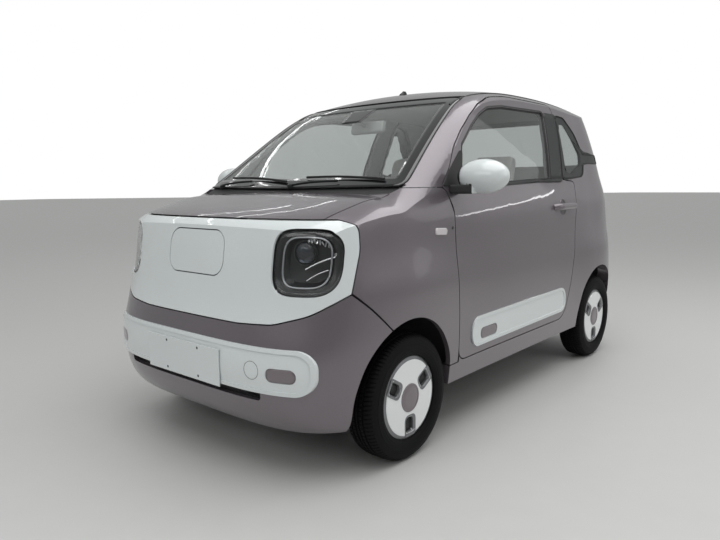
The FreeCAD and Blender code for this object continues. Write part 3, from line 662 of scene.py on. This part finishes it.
# corners of the windows and of what is laid on doors, wings and bumpers, in millimetres
cornersOf = {
    "screen": [(-632, 1080, 26), (0, 1073, 2), (632, 1080, 26), (598, 1196, 600), (571, 1290, 600),
               (546, 1382, 600), (507, 1503, 40), (0, 1503, 2), (-507, 1503, 40), (-546, 1382, 600),
               (-571, 1290, 600), (-598, 1196, 600)],
    "door": [(-516, 1074, 8), (-446, 1260, 16), (-328, 1350, 300), (-232, 1409, 200), (-141, 1446, 200),
             (18, 1464, 300), (492, 1472, 22), (402, 1104, 14)],
    "quarter": [(648, 1468, 22), (752, 1461, 50), (852, 1372, 90), (921, 1252, 24), (1176, 1252, 2),
                (1176, 1200, 2), (908, 1200, 30), (868, 1122, 70), (570, 1100, 16)],
    "quarterClear": [(654, 1415, 20), (718, 1418, 40), (782, 1340, 60), (843, 1248, 30), (821, 1188, 30),
                     (683, 1135, 30), (627, 1151, 16)],
    "sensor": [(-85, 1465, 4), (-62, 1395, 14), (62, 1395, 14), (85, 1465, 4)],
    "pillar": [(402, 1102, 2), (496, 1473, 10), (655, 1472, 20), (558, 1101, 4)],
    "belt": [(-520, 1062, 2), (-517, 1085, 6), (404, 1112, 3), (560, 1108, 3), (558, 1094, 3),
             (402, 1093, 3)],
    "marker": [(-764, 884, 12), (-760, 912, 10), (-684, 908, 12), (-676, 896, 8), (-684, 879, 10)],
    "doorPill": [(-425, 388, 25), (-425, 441, 25), (-268, 441, 25), (-268, 388, 25)],
    "frontPill": [(467, 397, 25), (467, 450, 25), (581, 450, 25), (581, 397, 25)],
    "mirror": [(734, 1122, 5), (734, 1132, 20), (780, 1170, 60), (855, 1170, 60), (912, 1122, 30),
               (912, 1112, 30), (855, 1066, 60), (780, 1066, 60)],
    "reflector": [(500, 352, 12), (500, 382, 12), (610, 388, 12), (610, 358, 12)],
}

outerNames = ("door_left", "door_right", "body_side", "roof", "fender", "bonnet", "front_", "rear_bumper",
              "tailgate", "windscreen", "quarter", "door_glass")
outerNodes = [n for n in nodes if n.startswith(outerNames) and n not in ("front_seats", "front_suspension")]
topSkin = surfaceOf("top", outerNodes)
screenSkin = surfaceOf("front", ["windscreen"])
cowlSkin = surfaceOf("front", ["windscreen", "black_trim"])
bumperSkin = surfaceOf("front", ["front_bumper"])
frontSkin = surfaceOf("front", ["front_panel", "front_bumper", "front_bumper_trim", "charge_flap"])
barSkin = surfaceOf("front", ["front_bumper_trim", "front_bumper"])
rearSkin = surfaceOf("rear", ["rear_bumper"])
headSkin = surfaceOf("front", ["headlamps"])
tailSkin = surfaceOf("rear", ["tail_lamps"])

# black edge print of the windscreen, its sensor patch and its rubber
screenValues = {"bottom": 1.118, "top": 1.462, "side": 0.056, "halfWidth": 0.632, "taper": 0.293}
screenEdge = outlineOf(cornersOf["screen"], 220)
screenOuter = inset(screenEdge, 0.002)
screenInner = []
for p in screenOuter:
    half = screenValues["halfWidth"] - screenValues["taper"] * (p.y - 1.08) - screenValues["side"]
    screenInner.append(Vector((max(-half, min(half, p.x)),
                               max(screenValues["bottom"], min(screenValues["top"], p.y)))))
layBand("windscreen_print", screenOuter, screenInner, screenSkin, 0.0006, 0.0016, gloss, rows=4)
layPatch("sensor_patch", outlineOf(cornersOf["sensor"], 60), screenSkin, 0.0006, 0.0016, gloss)
edge = landAll(screenSkin, inset(screenEdge, 0.0015), 0.0006)
layTube("windscreen_rubber", edge, 0.0028, sealRubber, closed=True, edges=6)

for side, k in sides.items():
    body = bodyOfNode["door_" + side]
    doorSkin = surfaceOf(side, ["door_" + side, "door_glass_" + side, "body_side_" + side])
    trimSkin = surfaceOf(side, ["door_trim_" + side])
    mirrorSkin = surfaceOf("rear", ["door_trim_" + side])
    quarterSkin = surfaceOf(side, ["quarter_glass"])
    wingSkin = surfaceOf(side, outerNodes)
    # door glass, its rubbers, and the black panels behind it
    ring = outlineOf(cornersOf["door"], 180)
    layBand("door_glass_seal_" + side, inset(ring, -0.009), inset(ring, 0.010), doorSkin, 0.0012, 0.004,
            sealRubber, body)
    layPatch("pillar_panel_" + side, outlineOf(cornersOf["pillar"], 120), doorSkin, 0.0014, 0.003,
             satinBlack, body, 6)
    layPatch("belt_strip_" + side, outlineOf(cornersOf["belt"], 90), doorSkin, 0.003, 0.006,
             satinBlack, body, 3)
    # quarter window: black surround with the clear pane inside, its points turned to face the outer ones
    outerRing = outlineOf(cornersOf["quarter"], 200)
    clearRing = outlineOf(cornersOf["quarterClear"], 200)
    turns = [clearRing[s:] + clearRing[:s] for s in range(200)]
    innerRing = min(turns, key=lambda turn: sum((a - b).length for a, b in zip(outerRing[::8], turn[::8])))
    layBand("quarter_print_" + side, inset(outerRing, 0.001), innerRing, quarterSkin, 0.0008, 0.002,
            satinBlack, rows=6)
    edge = landAll(quarterSkin, [p for p in outerRing[::2] if p.x < 1.165], 0.001)
    layTube("quarter_rubber_" + side, edge, 0.003, sealRubber, edges=6)
    # handle blade over a round cup, the cup a flat patch darker than the door as painted shade of its
    # recess
    bar = []
    for i in range(25):
        rise = 0.030 * min(1.0, 3.4 * math.sin(math.pi * i / 24)) ** 0.6
        bar.append(landOn(doorSkin, 0.402 + 0.226 * i / 24, 0.954, rise - 0.005))
    layTube("handle_" + side, bar, 0.0190, mauvePaint, body, edges=20)
    cup = squircle(0.505, 0.952, 0.082, 0.086, 64, 1)
    # a flat dark patch laid on the door: painted shade where the cup's recess would be
    layPatch("handle_cup_" + side, cup, doorSkin, 0.0008, 0.0012, cupShadePaint, body, 6)
    layTube("handle_cup_edge_" + side, landAll(doorSkin, cup, 0.0006), 0.0016, mauvePaint, body, True)
    # marker lamp and screw cap on the wing
    lens = outlineOf(cornersOf["marker"], 60)
    layPatch("marker_lamp_" + side, lens, wingSkin, 0.004, 0.006, amber)
    dot = squircle(-0.630, 0.904, 0.015, 0.015, 24, 1)
    layPatch("screw_cap_" + side, dot, wingSkin, 0.0016, 0.003, gloss, rings=3)
    # insert in the door bar, roof ditch strip, and insert at the end of the front bar
    pill = inset(outlineOf(cornersOf["doorPill"], 80), 0.0015)
    layPatch("bar_insert_" + side, pill, trimSkin, 0.0012, 0.002, pillPaint, body)
    ditch = [landOn(topSkin, k * 0.500, -0.33 + 1.55 * i / 60, 0.0006) for i in range(61)]
    layTube("roof_strip_" + side, ditch, 0.0045, sealRubber, edges=6)
    pill = inset(outlineOf(cornersOf["frontPill"], 80, k), 0.0015)
    layPatch("front_insert_" + side, pill, barSkin, 0.0012, 0.002, pillPaint)
    # rim and pane of the door mirror
    mirrorBack = outlineOf(cornersOf["mirror"], 90, k)
    layBand("mirror_rim_" + side, inset(mirrorBack, -0.008), mirrorBack, mirrorSkin, 0.0004, 0.003,
            satinBlack, body, 2)
    layPatch("mirror_pane_" + side, inset(mirrorBack, 0.001), mirrorSkin, 0.0006, 0.0015, mirrorFace,
             body, 5)
    # reflector low in the rear bumper
    glow = outlineOf(cornersOf["reflector"], 60, k)
    layPatch("rear_reflector_" + side, glow, rearSkin, 0.0004, 0.003, redPlastic, rings=3)
print("sides dressed")

# tow eye cover, intake slats and plate screws
outerRing, innerRing = (squircle(0.404, 0.432, 2 * r, 2 * r, 60, 1) for r in (0.034, 0.0325))
layBand("tow_cover_line", outerRing, innerRing, frontSkin, 0.0003, 0.0006, satinBlack, rows=1)
slatDepth = min(landOn(bumperSkin, 0.40 * i / 12 - 0.20, 0.366, -0.022).y for i in range(13)) + 0.012
for i, z in enumerate((0.328, 0.338, 0.348)):
    slat = [(-0.42 + 0.84 * m / 24, slatDepth, z) for m in range(25)]
    layTube("intake_slat_%d" % i, slat, 0.0022, satinBlack, edges=6)
screwPlaces = [(x, z) for x in (-0.105, 0.105) for z in (0.357, 0.469)]
for i, (x, z) in enumerate(screwPlaces):
    layTube("plate_screw_%d" % i, [(x, -1.49783, z), (x, -1.4944, z)], 0.0056, lampBlack, edges=16)

# lamps: housings, rings, lenses and clear covers; rings of a bowl are two scales and a depth
lampValues = {
    "centre": (0.552, 0.818), "width": 0.232, "height": 0.240, "ringDepth": 0.016,
    "bezel": [(1.0, 1.0, -0.0015), (0.975, 0.975, 0.0005), (0.95, 0.95, 0.004), (0.90, 0.91, 0.0075),
              (0.84, 0.86, 0.0085), (0.80, 0.82, 0.012), (0.74, 0.77, 0.017)],
    "bowl": [(0.76, 0.79, 0.017), (0.72, 0.76, 0.022), (0.66, 0.70, 0.034), (0.60, 0.64, 0.046),
             (0.30, 0.32, 0.050)],
    "lens": [(-4, 40.5), (4, 40), (11, 34), (16.5, 23), (19, 11), (19.7, 0.3)],
    "lensRing": [(-6, 45.5), (6, 45.5), (7.5, 44), (6, 41.5), (-2, 41)],
    "blades": [((0.001, -0.026), (0.086, 0.018), 0.0030), ((0.008, -0.066), (0.070, -0.028), 0.0022)],
}
tailValues = {
    "centre": (0.562, 0.822), "width": 0.190, "height": 0.216,
    "bowl": [(1.0, 1.0, -0.001), (0.96, 0.96, 0.003), (0.86, 0.87, 0.010), (0.70, 0.73, 0.026),
             (0.34, 0.36, 0.030)],
}


def lampOutline(values, k, sx, sz, shift=0.0):
    cx, cz = values["centre"]
    return squircle(k * (cx + shift), cz + shift, values["width"] * sx, values["height"] * sz)


def behind(points, back, depth):
    return [p + back * depth for p in points]


# rings of the lamp's outline that step back from a surface
def layBowl(name, values, key, k, surface, back, material, close=True):
    verts = []
    for sx, sz, depth in values[key]:
        outline = lampOutline(values, k, sx, sz)
        verts += behind(landAll(surface, outline), back, depth)
    rows, count = len(values[key]), len(outline)
    faces = gridFaces(rows, count)
    if close:
        middle = sum(outline, Vector((0, 0))) / count
        verts += behind(landAll(surface, [middle]), back, depth)
        faces += fanFaces(rows, count)
    makePiece(name, verts, faces, material, "car_body", 40)


for side, k in sides.items():
    cx, cz = lampValues["centre"]
    back = Vector((-k * 0.30, 0.95, 0.02)).normalized()
    outline = lampOutline(lampValues, k, 0.985, 0.985)
    cover = layPatch("lamp_cover_" + side, outline, headSkin, -0.0004, 0.0022, lampGlass, rings=9)
    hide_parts("headlamps")
    layBowl("lamp_bezel_" + side, lampValues, "bezel", k, headSkin, back, lampBlack, False)
    path = landAll(headSkin, lampOutline(lampValues, k, 0.69, 0.745, -0.002))
    path = behind(path, back, lampValues["ringDepth"])
    layTube("lamp_ring_" + side, path, 0.0036, silver, closed=True, edges=10)
    layBowl("lamp_bowl_" + side, lampValues, "bowl", k, headSkin, back, lampBlack)
    # projector lens in its shroud
    centre = landOn(headSkin, k * (cx - 0.010), cz + 0.030) + back * 0.038
    turned("lamp_lens_" + side, lampValues["lens"], centre, -back, darkLens, smooth=60)
    turned("lamp_lens_ring_" + side, lampValues["lensRing"], centre, -back, satinBlack)
    turned("lamp_lens_back_" + side, [(-6, 42), (-6.5, 0.3)], centre, -back, gloss, count=40)
    # two bright blades and the stepped reflector facets
    for i, (a, b, radius) in enumerate(lampValues["blades"]):
        path = [Vector((k * (cx + p.x), cz + p.y)) for p in bowed(a, b, 0.004, 12)]
        path = behind(landAll(headSkin, path), back, 0.022)
        layTube("lamp_blade_%d_%s" % (i, side), path, radius, chrome)
    for i in range(9):
        t = i / 8
        u, v = 0.004 + 0.068 * t, 0.074 - 0.022 * t * t
        place = landOn(headSkin, k * (cx + u), cz + v) + back * 0.026
        facet = Matrix.Rotation(0.5 - t, 3, "Z") @ Matrix.Rotation(0.4 * ((i % 3) - 1), 3, "X")
        softBlock("lamp_facet_%d_%s" % (i, side), (0.0072, 0.004, 0.017), 0.0012, place,
                  chrome if i % 2 else silver, 2, facet)
    foot = landOn(headSkin, k * (cx + 0.084), cz + 0.026) + back * 0.022
    softBlock("lamp_blade_foot_" + side, (0.014, 0.006, 0.013), 0.002, foot, chrome, 2)
    # rear lamp
    back = Vector((-k * 0.3, -0.95, 0.0)).normalized()
    outline = lampOutline(tailValues, k, 0.985, 0.985)
    cover = layPatch("tail_cover_" + side, outline, tailSkin, -0.0004, 0.0022, redGlass, rings=7)
    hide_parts("tail_lamps")
    layBowl("tail_bowl_" + side, tailValues, "bowl", k, tailSkin, back, silver)
    path = landAll(tailSkin, lampOutline(tailValues, k, 0.70, 0.73))
    layTube("tail_ring_" + side, behind(path, back, 0.009), 0.0045, gloss, closed=True)
print("lamps made")

# wipers: pivot, elbow and the blade's two ends
wiperValues = [
    ((0.045, 1.078), (0.30, 1.096), (0.53, 1.104), (0.09, 1.117)),
    ((-0.50, 1.078), (-0.27, 1.100), (-0.02, 1.100), (-0.47, 1.122)),
]
for i, (pivot, elbow, tipA, tipB) in enumerate(wiperValues):
    arm = []
    for m, p in enumerate(bowed(pivot, elbow, 0, 10)):
        arm.append(landOn(cowlSkin, p.x, p.y, 0.012 + 0.006 * math.sin(math.pi * m / 10)))
    layTube("wiper_arm_%d" % i, arm, 0.0055, satinBlack)
    blade = landAll(screenSkin, bowed(tipA, tipB, 0.006, 16), 0.008)
    layTube("wiper_blade_%d" % i, blade, 0.0058, sealRubber, edges=6)
    turned("wiper_pivot_%d" % i, [(-6, 14.5), (10, 13.5), (15, 10), (16, 0.3)],
           landOn(cowlSkin, *pivot, 0.004), (0, -0.45, 0.9), satinBlack, count=32)

# aerial fin: half width, reach forwards and backwards and height of each level
finLevels = [(0.011, 0.034, 0.040, -0.004), (0.009, 0.026, 0.036, 0.004), (0.005, 0.006, 0.030, 0.015),
             (0.003, -0.004, 0.024, 0.0205)]
base = landOn(topSkin, 0.0, -0.02)
fin = []
for half, fore, aft, z in finLevels:
    for i in range(20):
        t = 2 * math.pi * i / 20
        y = -fore if math.cos(t) > 0 else aft
        fin.append(base + Vector((half * math.sin(t), abs(math.cos(t)) * y, z)))
finFaces = gridFaces(4, 20) + [tuple(range(20)), tuple(range(60, 80))]
makePiece("aerial_fin", fin, finFaces, satinBlack, "car_body", 40)

# rear view mirror on its stem
tilt = tiltBy(-12)
stem = [(0.0, -0.430, 1.412), (0.0, -0.405, 1.402), (0.005, -0.375, 1.388), (0.015, -0.352, 1.378)]
softBlock("cabin_mirror", (0.215, 0.032, 0.062), 0.014, (0.02, -0.345, 1.372), lightTrim, 5, tilt)
softBlock("cabin_mirror_pane", (0.200, 0.004, 0.048), 0.0018, (0.02, -0.3275, 1.3755), mirrorFace, 2, tilt)
layTube("cabin_mirror_stem", stem, 0.009, lightTrim, edges=12)
print("wipers and mirror made")

# charging socket behind the flap
socketValues = {
    "place": Vector((0.040, -1.380, 0.835)), "pinRing": 0.0175,
    "shell": [(-1, 40), (5, 39.5), (6.5, 37.5), (6.5, 34.5), (5, 33), (0.6, 32.5), (0.6, 0.3)],
    "pin": [(0, 5), (4.5, 4.8), (5, 4), (4.2, 2.8), (1, 2.6), (1, 0.2)],
}
softBlock("socket_plate", (0.390, 0.006, 0.200), 0.0025, (0, -1.377, 0.833), grainBlack, 3)
turned("charge_socket", socketValues["shell"], socketValues["place"], (0, -1, 0), lampBlack, count=64)
for i in range(7):
    reach = socketValues["pinRing"] if i < 6 else 0
    t = math.radians(60 * i)
    spot = socketValues["place"] + Vector((reach * math.cos(t), -0.0002, reach * math.sin(t)))
    turned("socket_pin_%d" % i, socketValues["pin"], spot, (0, -1, 0), satinBlack, count=20)

# seats: crowned cushions with drawn-in sides and sewn channels at an x, a y or both x and -x (xx)
seatValues = {
    "pull": 0.035, "seam": 0.006, "seamWidth": 0.011, "rounding": 0.72, "lean": 14,
    "cushion": {"size": (0.455, 0.475, 0.128), "channels": [("xx", 0.135), ("y", -0.06), ("y", 0.06)],
                "cells": (40, 40, 8), "crown": 0.10, "boss": 0.030},
    "back": {"size": (0.455, 0.615, 0.118), "cells": (40, 48, 8),
             "channels": [("xx", 0.135), ("y", -0.10), ("y", 0.06), ("y", 0.20)],
             "crown": 0.12, "boss": 0.030},
    "head": {"size": (0.248, 0.176, 0.088), "channels": [("y", 0.0)], "cells": (20, 16, 8), "crown": 0.2},
}
benchValues = {
    "lean": 12,
    "cushion": {"size": (1.030, 0.395, 0.132), "channels": [("x", 0.0), ("x", -0.34), ("x", 0.34)],
                "cells": (60, 28, 8), "crown": 0.12},
    "back": {"size": (1.030, 0.515, 0.108), "cells": (60, 36, 8),
             "channels": [("x", 0.0), ("x", -0.34), ("x", 0.34), ("y", 0.12)], "crown": 0.12},
}


def makeCushion(name, place, axes, size, channels, cells, crown, boss=0.0):
    form = bmesh.new()
    grid = {}

    def corner(key):
        if key not in grid:
            grid[key] = form.verts.new([2 * i / n - 1 for i, n in zip(key, cells)])
        return grid[key]

    # a box of cells, open inside
    for across in (2, 1, 0):
        b, c = [axis for axis in range(3) if axis != across]
        for i in range(cells[b]):
            for j in range(cells[c]):
                for end in (0, cells[across]):
                    key = [end, end, end]
                    loop = []
                    for u, v in ((i, j), (i + 1, j), (i + 1, j + 1), (i, j + 1)):
                        key[b], key[c] = u, v
                        loop.append(corner(tuple(key)))
                    form.faces.new(loop)
    half = [s / 2 for s in size]
    radius = min(half) * seatValues["rounding"]
    pull, seamWidth = seatValues["pull"], seatValues["seamWidth"]
    for vert in form.verts:
        x, y, z = vert.co
        # round every edge of the box
        spot = Vector([c * h for c, h in zip(vert.co, half)])
        core = Vector([max(radius - h, min(h - radius, c)) for c, h in zip(spot, half)])
        away = spot - core
        if away.length > 1e-9:
            spot = core + away.normalized() * radius
        spot.z *= 1 - crown * (x * x + y * y) * 0.5
        spot.x *= 1 - pull * (1 - y * y) * (1 - z * z)
        spot.y *= 1 - pull * (1 - x * x) * (1 - z * z)
        if boss and z > 0:
            spot.z += boss * (1 / (1 + math.exp(-(abs(x) - 0.66) * 22)) - 0.5) * (1 - abs(y) ** 6)
        if z > 0.2:
            for kind, at in channels:
                distance = {"x": spot.x, "xx": abs(spot.x), "y": spot.y}[kind] - at
                spot.z -= seatValues["seam"] * math.exp(-(distance / seamWidth) ** 2)
        vert.co = spot
    bmesh.ops.transform(form, matrix=Matrix.Translation(place) @ axes.to_4x4(), verts=form.verts)
    mesh = bpy.data.meshes.new(name)
    form.to_mesh(mesh)
    form.free()
    piece = placePiece(name, mesh, seatCloth, "car_body", 80)
    smooth = piece.modifiers.new("soften", "SUBSURF")
    smooth.levels = smooth.render_levels = 1
    return piece


def lean(degrees, anchor, point):
    turn = tiltBy(-degrees)
    return turn @ (Vector(point) - Vector(anchor)) + Vector(anchor), turn @ upright


flat = Matrix.Identity(3)
upright = Matrix(((1, 0, 0), (0, 0, -1), (0, 1, 0)))
for side, k in sides.items():
    cx = 0.305 * k
    cushion = makeCushion("seat_cushion_" + side, (cx, 0.050, 0.495), flat, **seatValues["cushion"])
    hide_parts("front_seats")
    anchor = (cx, 0.290, 0.480)
    place, turn = lean(seatValues["lean"], anchor, (cx, 0.290, 0.780))
    makeCushion("seat_back_" + side, place, turn, **seatValues["back"])
    place, turn = lean(seatValues["lean"], anchor, (cx, 0.285, 1.170))
    makeCushion("seat_head_" + side, place, turn, **seatValues["head"])
    softBlock("seat_base_" + side, (0.40, 0.36, 0.160), 0.02, (cx, 0.055, 0.352), satinBlack, 3)
    for i, dx in enumerate((-0.055, 0.055)):
        ends = [lean(seatValues["lean"], anchor, (cx + dx, 0.288, z))[0] for z in (1.060, 1.090, 1.120)]
        layTube("head_post_%d_%s" % (i, side), ends, 0.0055, chrome, edges=10)

bench = makeCushion("bench_cushion", (0, 0.760, 0.573), flat, **benchValues["cushion"])
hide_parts("rear_seat")
place, turn = lean(benchValues["lean"], (0, 0.960, 0.560), (0, 0.965, 0.820))
makeCushion("bench_back", place, turn, **benchValues["back"])

# dashboard dress: dial screen, centre screen, vents and a pale band
softBlock("dial_screen", (0.30, 0.018, 0.105), 0.008, (0.30, -0.405, 0.985), gloss, 3, tiltBy(-14))
softBlock("centre_screen", (0.25, 0.016, 0.150), 0.008, (0.0, -0.398, 0.930), gloss, 3, tiltBy(-10))
softBlock("dash_band", (1.16, 0.010, 0.052), 0.004, (0.0, -0.4095, 0.862), lightTrim, 2)
bladeTurn = Matrix.Rotation(0.4, 3, "X")
for i, x in enumerate((-0.50, -0.19, 0.50)):
    softBlock("vent_frame_%d" % i, (0.115, 0.014, 0.062), 0.006, (x, -0.408, 0.905), satinBlack, 3)
    for j in range(4):
        place = (x, -0.401, 0.885 + 0.0135 * j)
        softBlock("vent_blade_%d_%d" % (i, j), (0.100, 0.006, 0.004), 0.001, place, gloss, 1, bladeTurn)

# steering wheel: padded rim, pad and two groups of keys
steerValues = {"axis": (0, 0.938, 0.347), "centre": (0.3, -0.310, 0.895), "rim": 182, "keys": 0.105}
steerAxis = Vector(steerValues["axis"]).normalized()
steerCentre = Vector(steerValues["centre"])
steerSide = Vector((1, 0, 0))
steerFrame = Matrix((steerSide, steerAxis.cross(steerSide), steerAxis)).transposed()
rim = []
for i in range(16):
    t = 2 * math.pi * i / 16
    rim.append((16 * math.sin(t), steerValues["rim"] + 15.5 * math.cos(t)))
turned("steering_rim", rim, steerCentre, steerAxis, satinBlack, "steering_wheel", 72, True, 80)
softBlock("steering_pad", (0.150, 0.120, 0.034), 0.015, steerCentre + steerAxis * 0.012, satinBlack, 4,
          steerFrame, "steering_wheel")
for i, k in ((1, 1), (0, -1)):
    place = steerCentre + steerSide * (k * steerValues["keys"]) + steerAxis * 0.008
    softBlock("steering_keys_%d" % i, (0.046, 0.030, 0.014), 0.004, place, gloss, 2, steerFrame,
              "steering_wheel")

# inner door trims: size, rounding, place and material
doorTrims = {
    "door_arm_rest_": ((0.050, 0.420, 0.060), 0.018, (0.655, -0.08, 0.720), dashPlastic),
    "door_pocket_": ((0.044, 0.520, 0.150), 0.018, (0.660, -0.10, 0.480), grainBlack),
    "door_pad_": ((0.020, 0.500, 0.170), 0.009, (0.668, -0.09, 0.860), seatSide),
}
for side, k in sides.items():
    for name, (size, radius, (x, y, z), material) in doorTrims.items():
        softBlock(name + side, size, radius, (k * x, y, z), material, body=bodyOfNode["door_" + side])
print("cabin made")

# floor, lights and surroundings
floorValues = {"half": 60, "height": -0.0005, "tones": ((0.48, 0.48, 0.47), (0.53, 0.53, 0.52))}
half, z = floorValues["half"], floorValues["height"]
corners = [(-half, -half, z), (half, -half, z), (half, half, z), (-half, half, z)]
mesh = bpy.data.meshes.new("studio_floor")
mesh.from_pydata(corners, [], [(0, 1, 2, 3)])
floorPiece = bpy.data.objects.new("studio_floor", mesh)
scene.collection.objects.link(floorPiece)
floorMaterial = makeVaried("studio floor", (0.50, 0.50, 0.49), floorValues["tones"], 0.55, (-0.13, 0.07),
                           grainGroup, "Mask", {"Scale": 60, "Dust": 0.5})
mesh.materials.append(floorMaterial)

worldValues = {"color": (0.93, 0.95, 0.94, 1), "brightSide": (-0.62, 0.77, 0.12),
               "span": {"From Min": -0.7, "From Max": 0.9, "To Min": 0.19, "To Max": 0.43}}
world = bpy.data.worlds.new("studio")
scene.world = world
world.use_nodes = True
tree, links = world.node_tree.nodes, world.node_tree.links
shaded = tree["Background"]
setInputs(shaded, {"Color": worldValues["color"]})
# the far wall of the studio is brighter than the near one
place = tree.new("ShaderNodeTexCoord")
facing = tree.new("ShaderNodeVectorMath")
facing.operation = "DOT_PRODUCT"
facing.inputs[1].default_value = worldValues["brightSide"]
links.new(place.outputs["Generated"], facing.inputs[0])
span = tree.new("ShaderNodeMapRange")
span.interpolation_type = "SMOOTHSTEP"
setInputs(span, worldValues["span"])
links.new(facing.outputs["Value"], span.inputs["Value"])
links.new(span.outputs["Result"], shaded.inputs["Strength"])
# and the camera sees it as plain white
white = tree.new("ShaderNodeBackground")
setInputs(white, {"Color": (1, 1, 1, 1), "Strength": 1.0})
mixByRay(tree, links, "Is Camera Ray", shaded, white, "World Output")


def newLamp(name, kind, power, place, turn):
    data = bpy.data.lights.new(name, kind)
    data.energy = power
    lamp = bpy.data.objects.new(name, data)
    lamp.matrix_world = Matrix.Translation(place) @ turn.to_4x4()
    scene.collection.objects.link(lamp)
    return lamp


# a soft box turned to its target, or downwards
def addSoftBox(name, place, target, size, power):
    turn = (Vector(target) - Vector(place)).to_track_quat("-Z", "Y").to_matrix() if target else flat
    lamp = newLamp(name, "AREA", power, place, turn)
    lamp.data.shape = "RECTANGLE"
    lamp.data.size, lamp.data.size_y = size
    return lamp


# an upright panel beside the car, its lower edge from start to end
def addPanel(name, start, end, height, power):
    start, end = Vector(start), Vector(end)
    outwards = Vector((1, 0, 0))
    along = (end - start).normalized()
    rise = outwards.cross(along)
    lamp = addSoftBox(name, (0, 0, 0), None, ((end - start).length, height), power)
    turn = Matrix((along, rise, outwards)).transposed()
    lamp.matrix_world = Matrix.Translation((start + end) / 2 + rise * height / 2) @ turn.to_4x4()
    lamp.visible_camera = False


glow = newLamp("overhead glow", "SUN", 1.25, (0, 0, 6), flat)
glow.data.angle = math.radians(130)
glow.visible_glossy = False
addSoftBox("ceiling soft box", (1.7, -0.5, 4.4), None, (3.6, 7.0), 150)
addSoftBox("front soft box", (0.2, -5.6, 3.0), (0, -0.6, 0.8), (4.5, 1.6), 34)
addSoftBox("side soft box", (5.4, 0.4, 2.4), (0, 0.2, 0.7), (4.0, 1.4), 12)
addSoftBox("ceiling line one", (-4.7, 0.4, 4.4), None, (0.08, 7.0), 8)
addSoftBox("ceiling line two", (-5.9, 0.4, 4.4), None, (0.08, 7.0), 8)
addPanel("wall line rear", (4, 4.75, 1.30), (4, 8.9, 2.55), 0.08, 6)
addPanel("wall line high", (4, -0.9, 1.4), (4, 3.4, 1.84), 0.08, 4)
addPanel("wall glow front", (4.1, -0.9, 1.5), (4.1, 4.5, 2.1), 2.4, 13)
addPanel("wall glow rear", (4.1, 4.0, 1.13), (4.1, 8.7, 2.54), 3.0, 17)
print("stage lit")
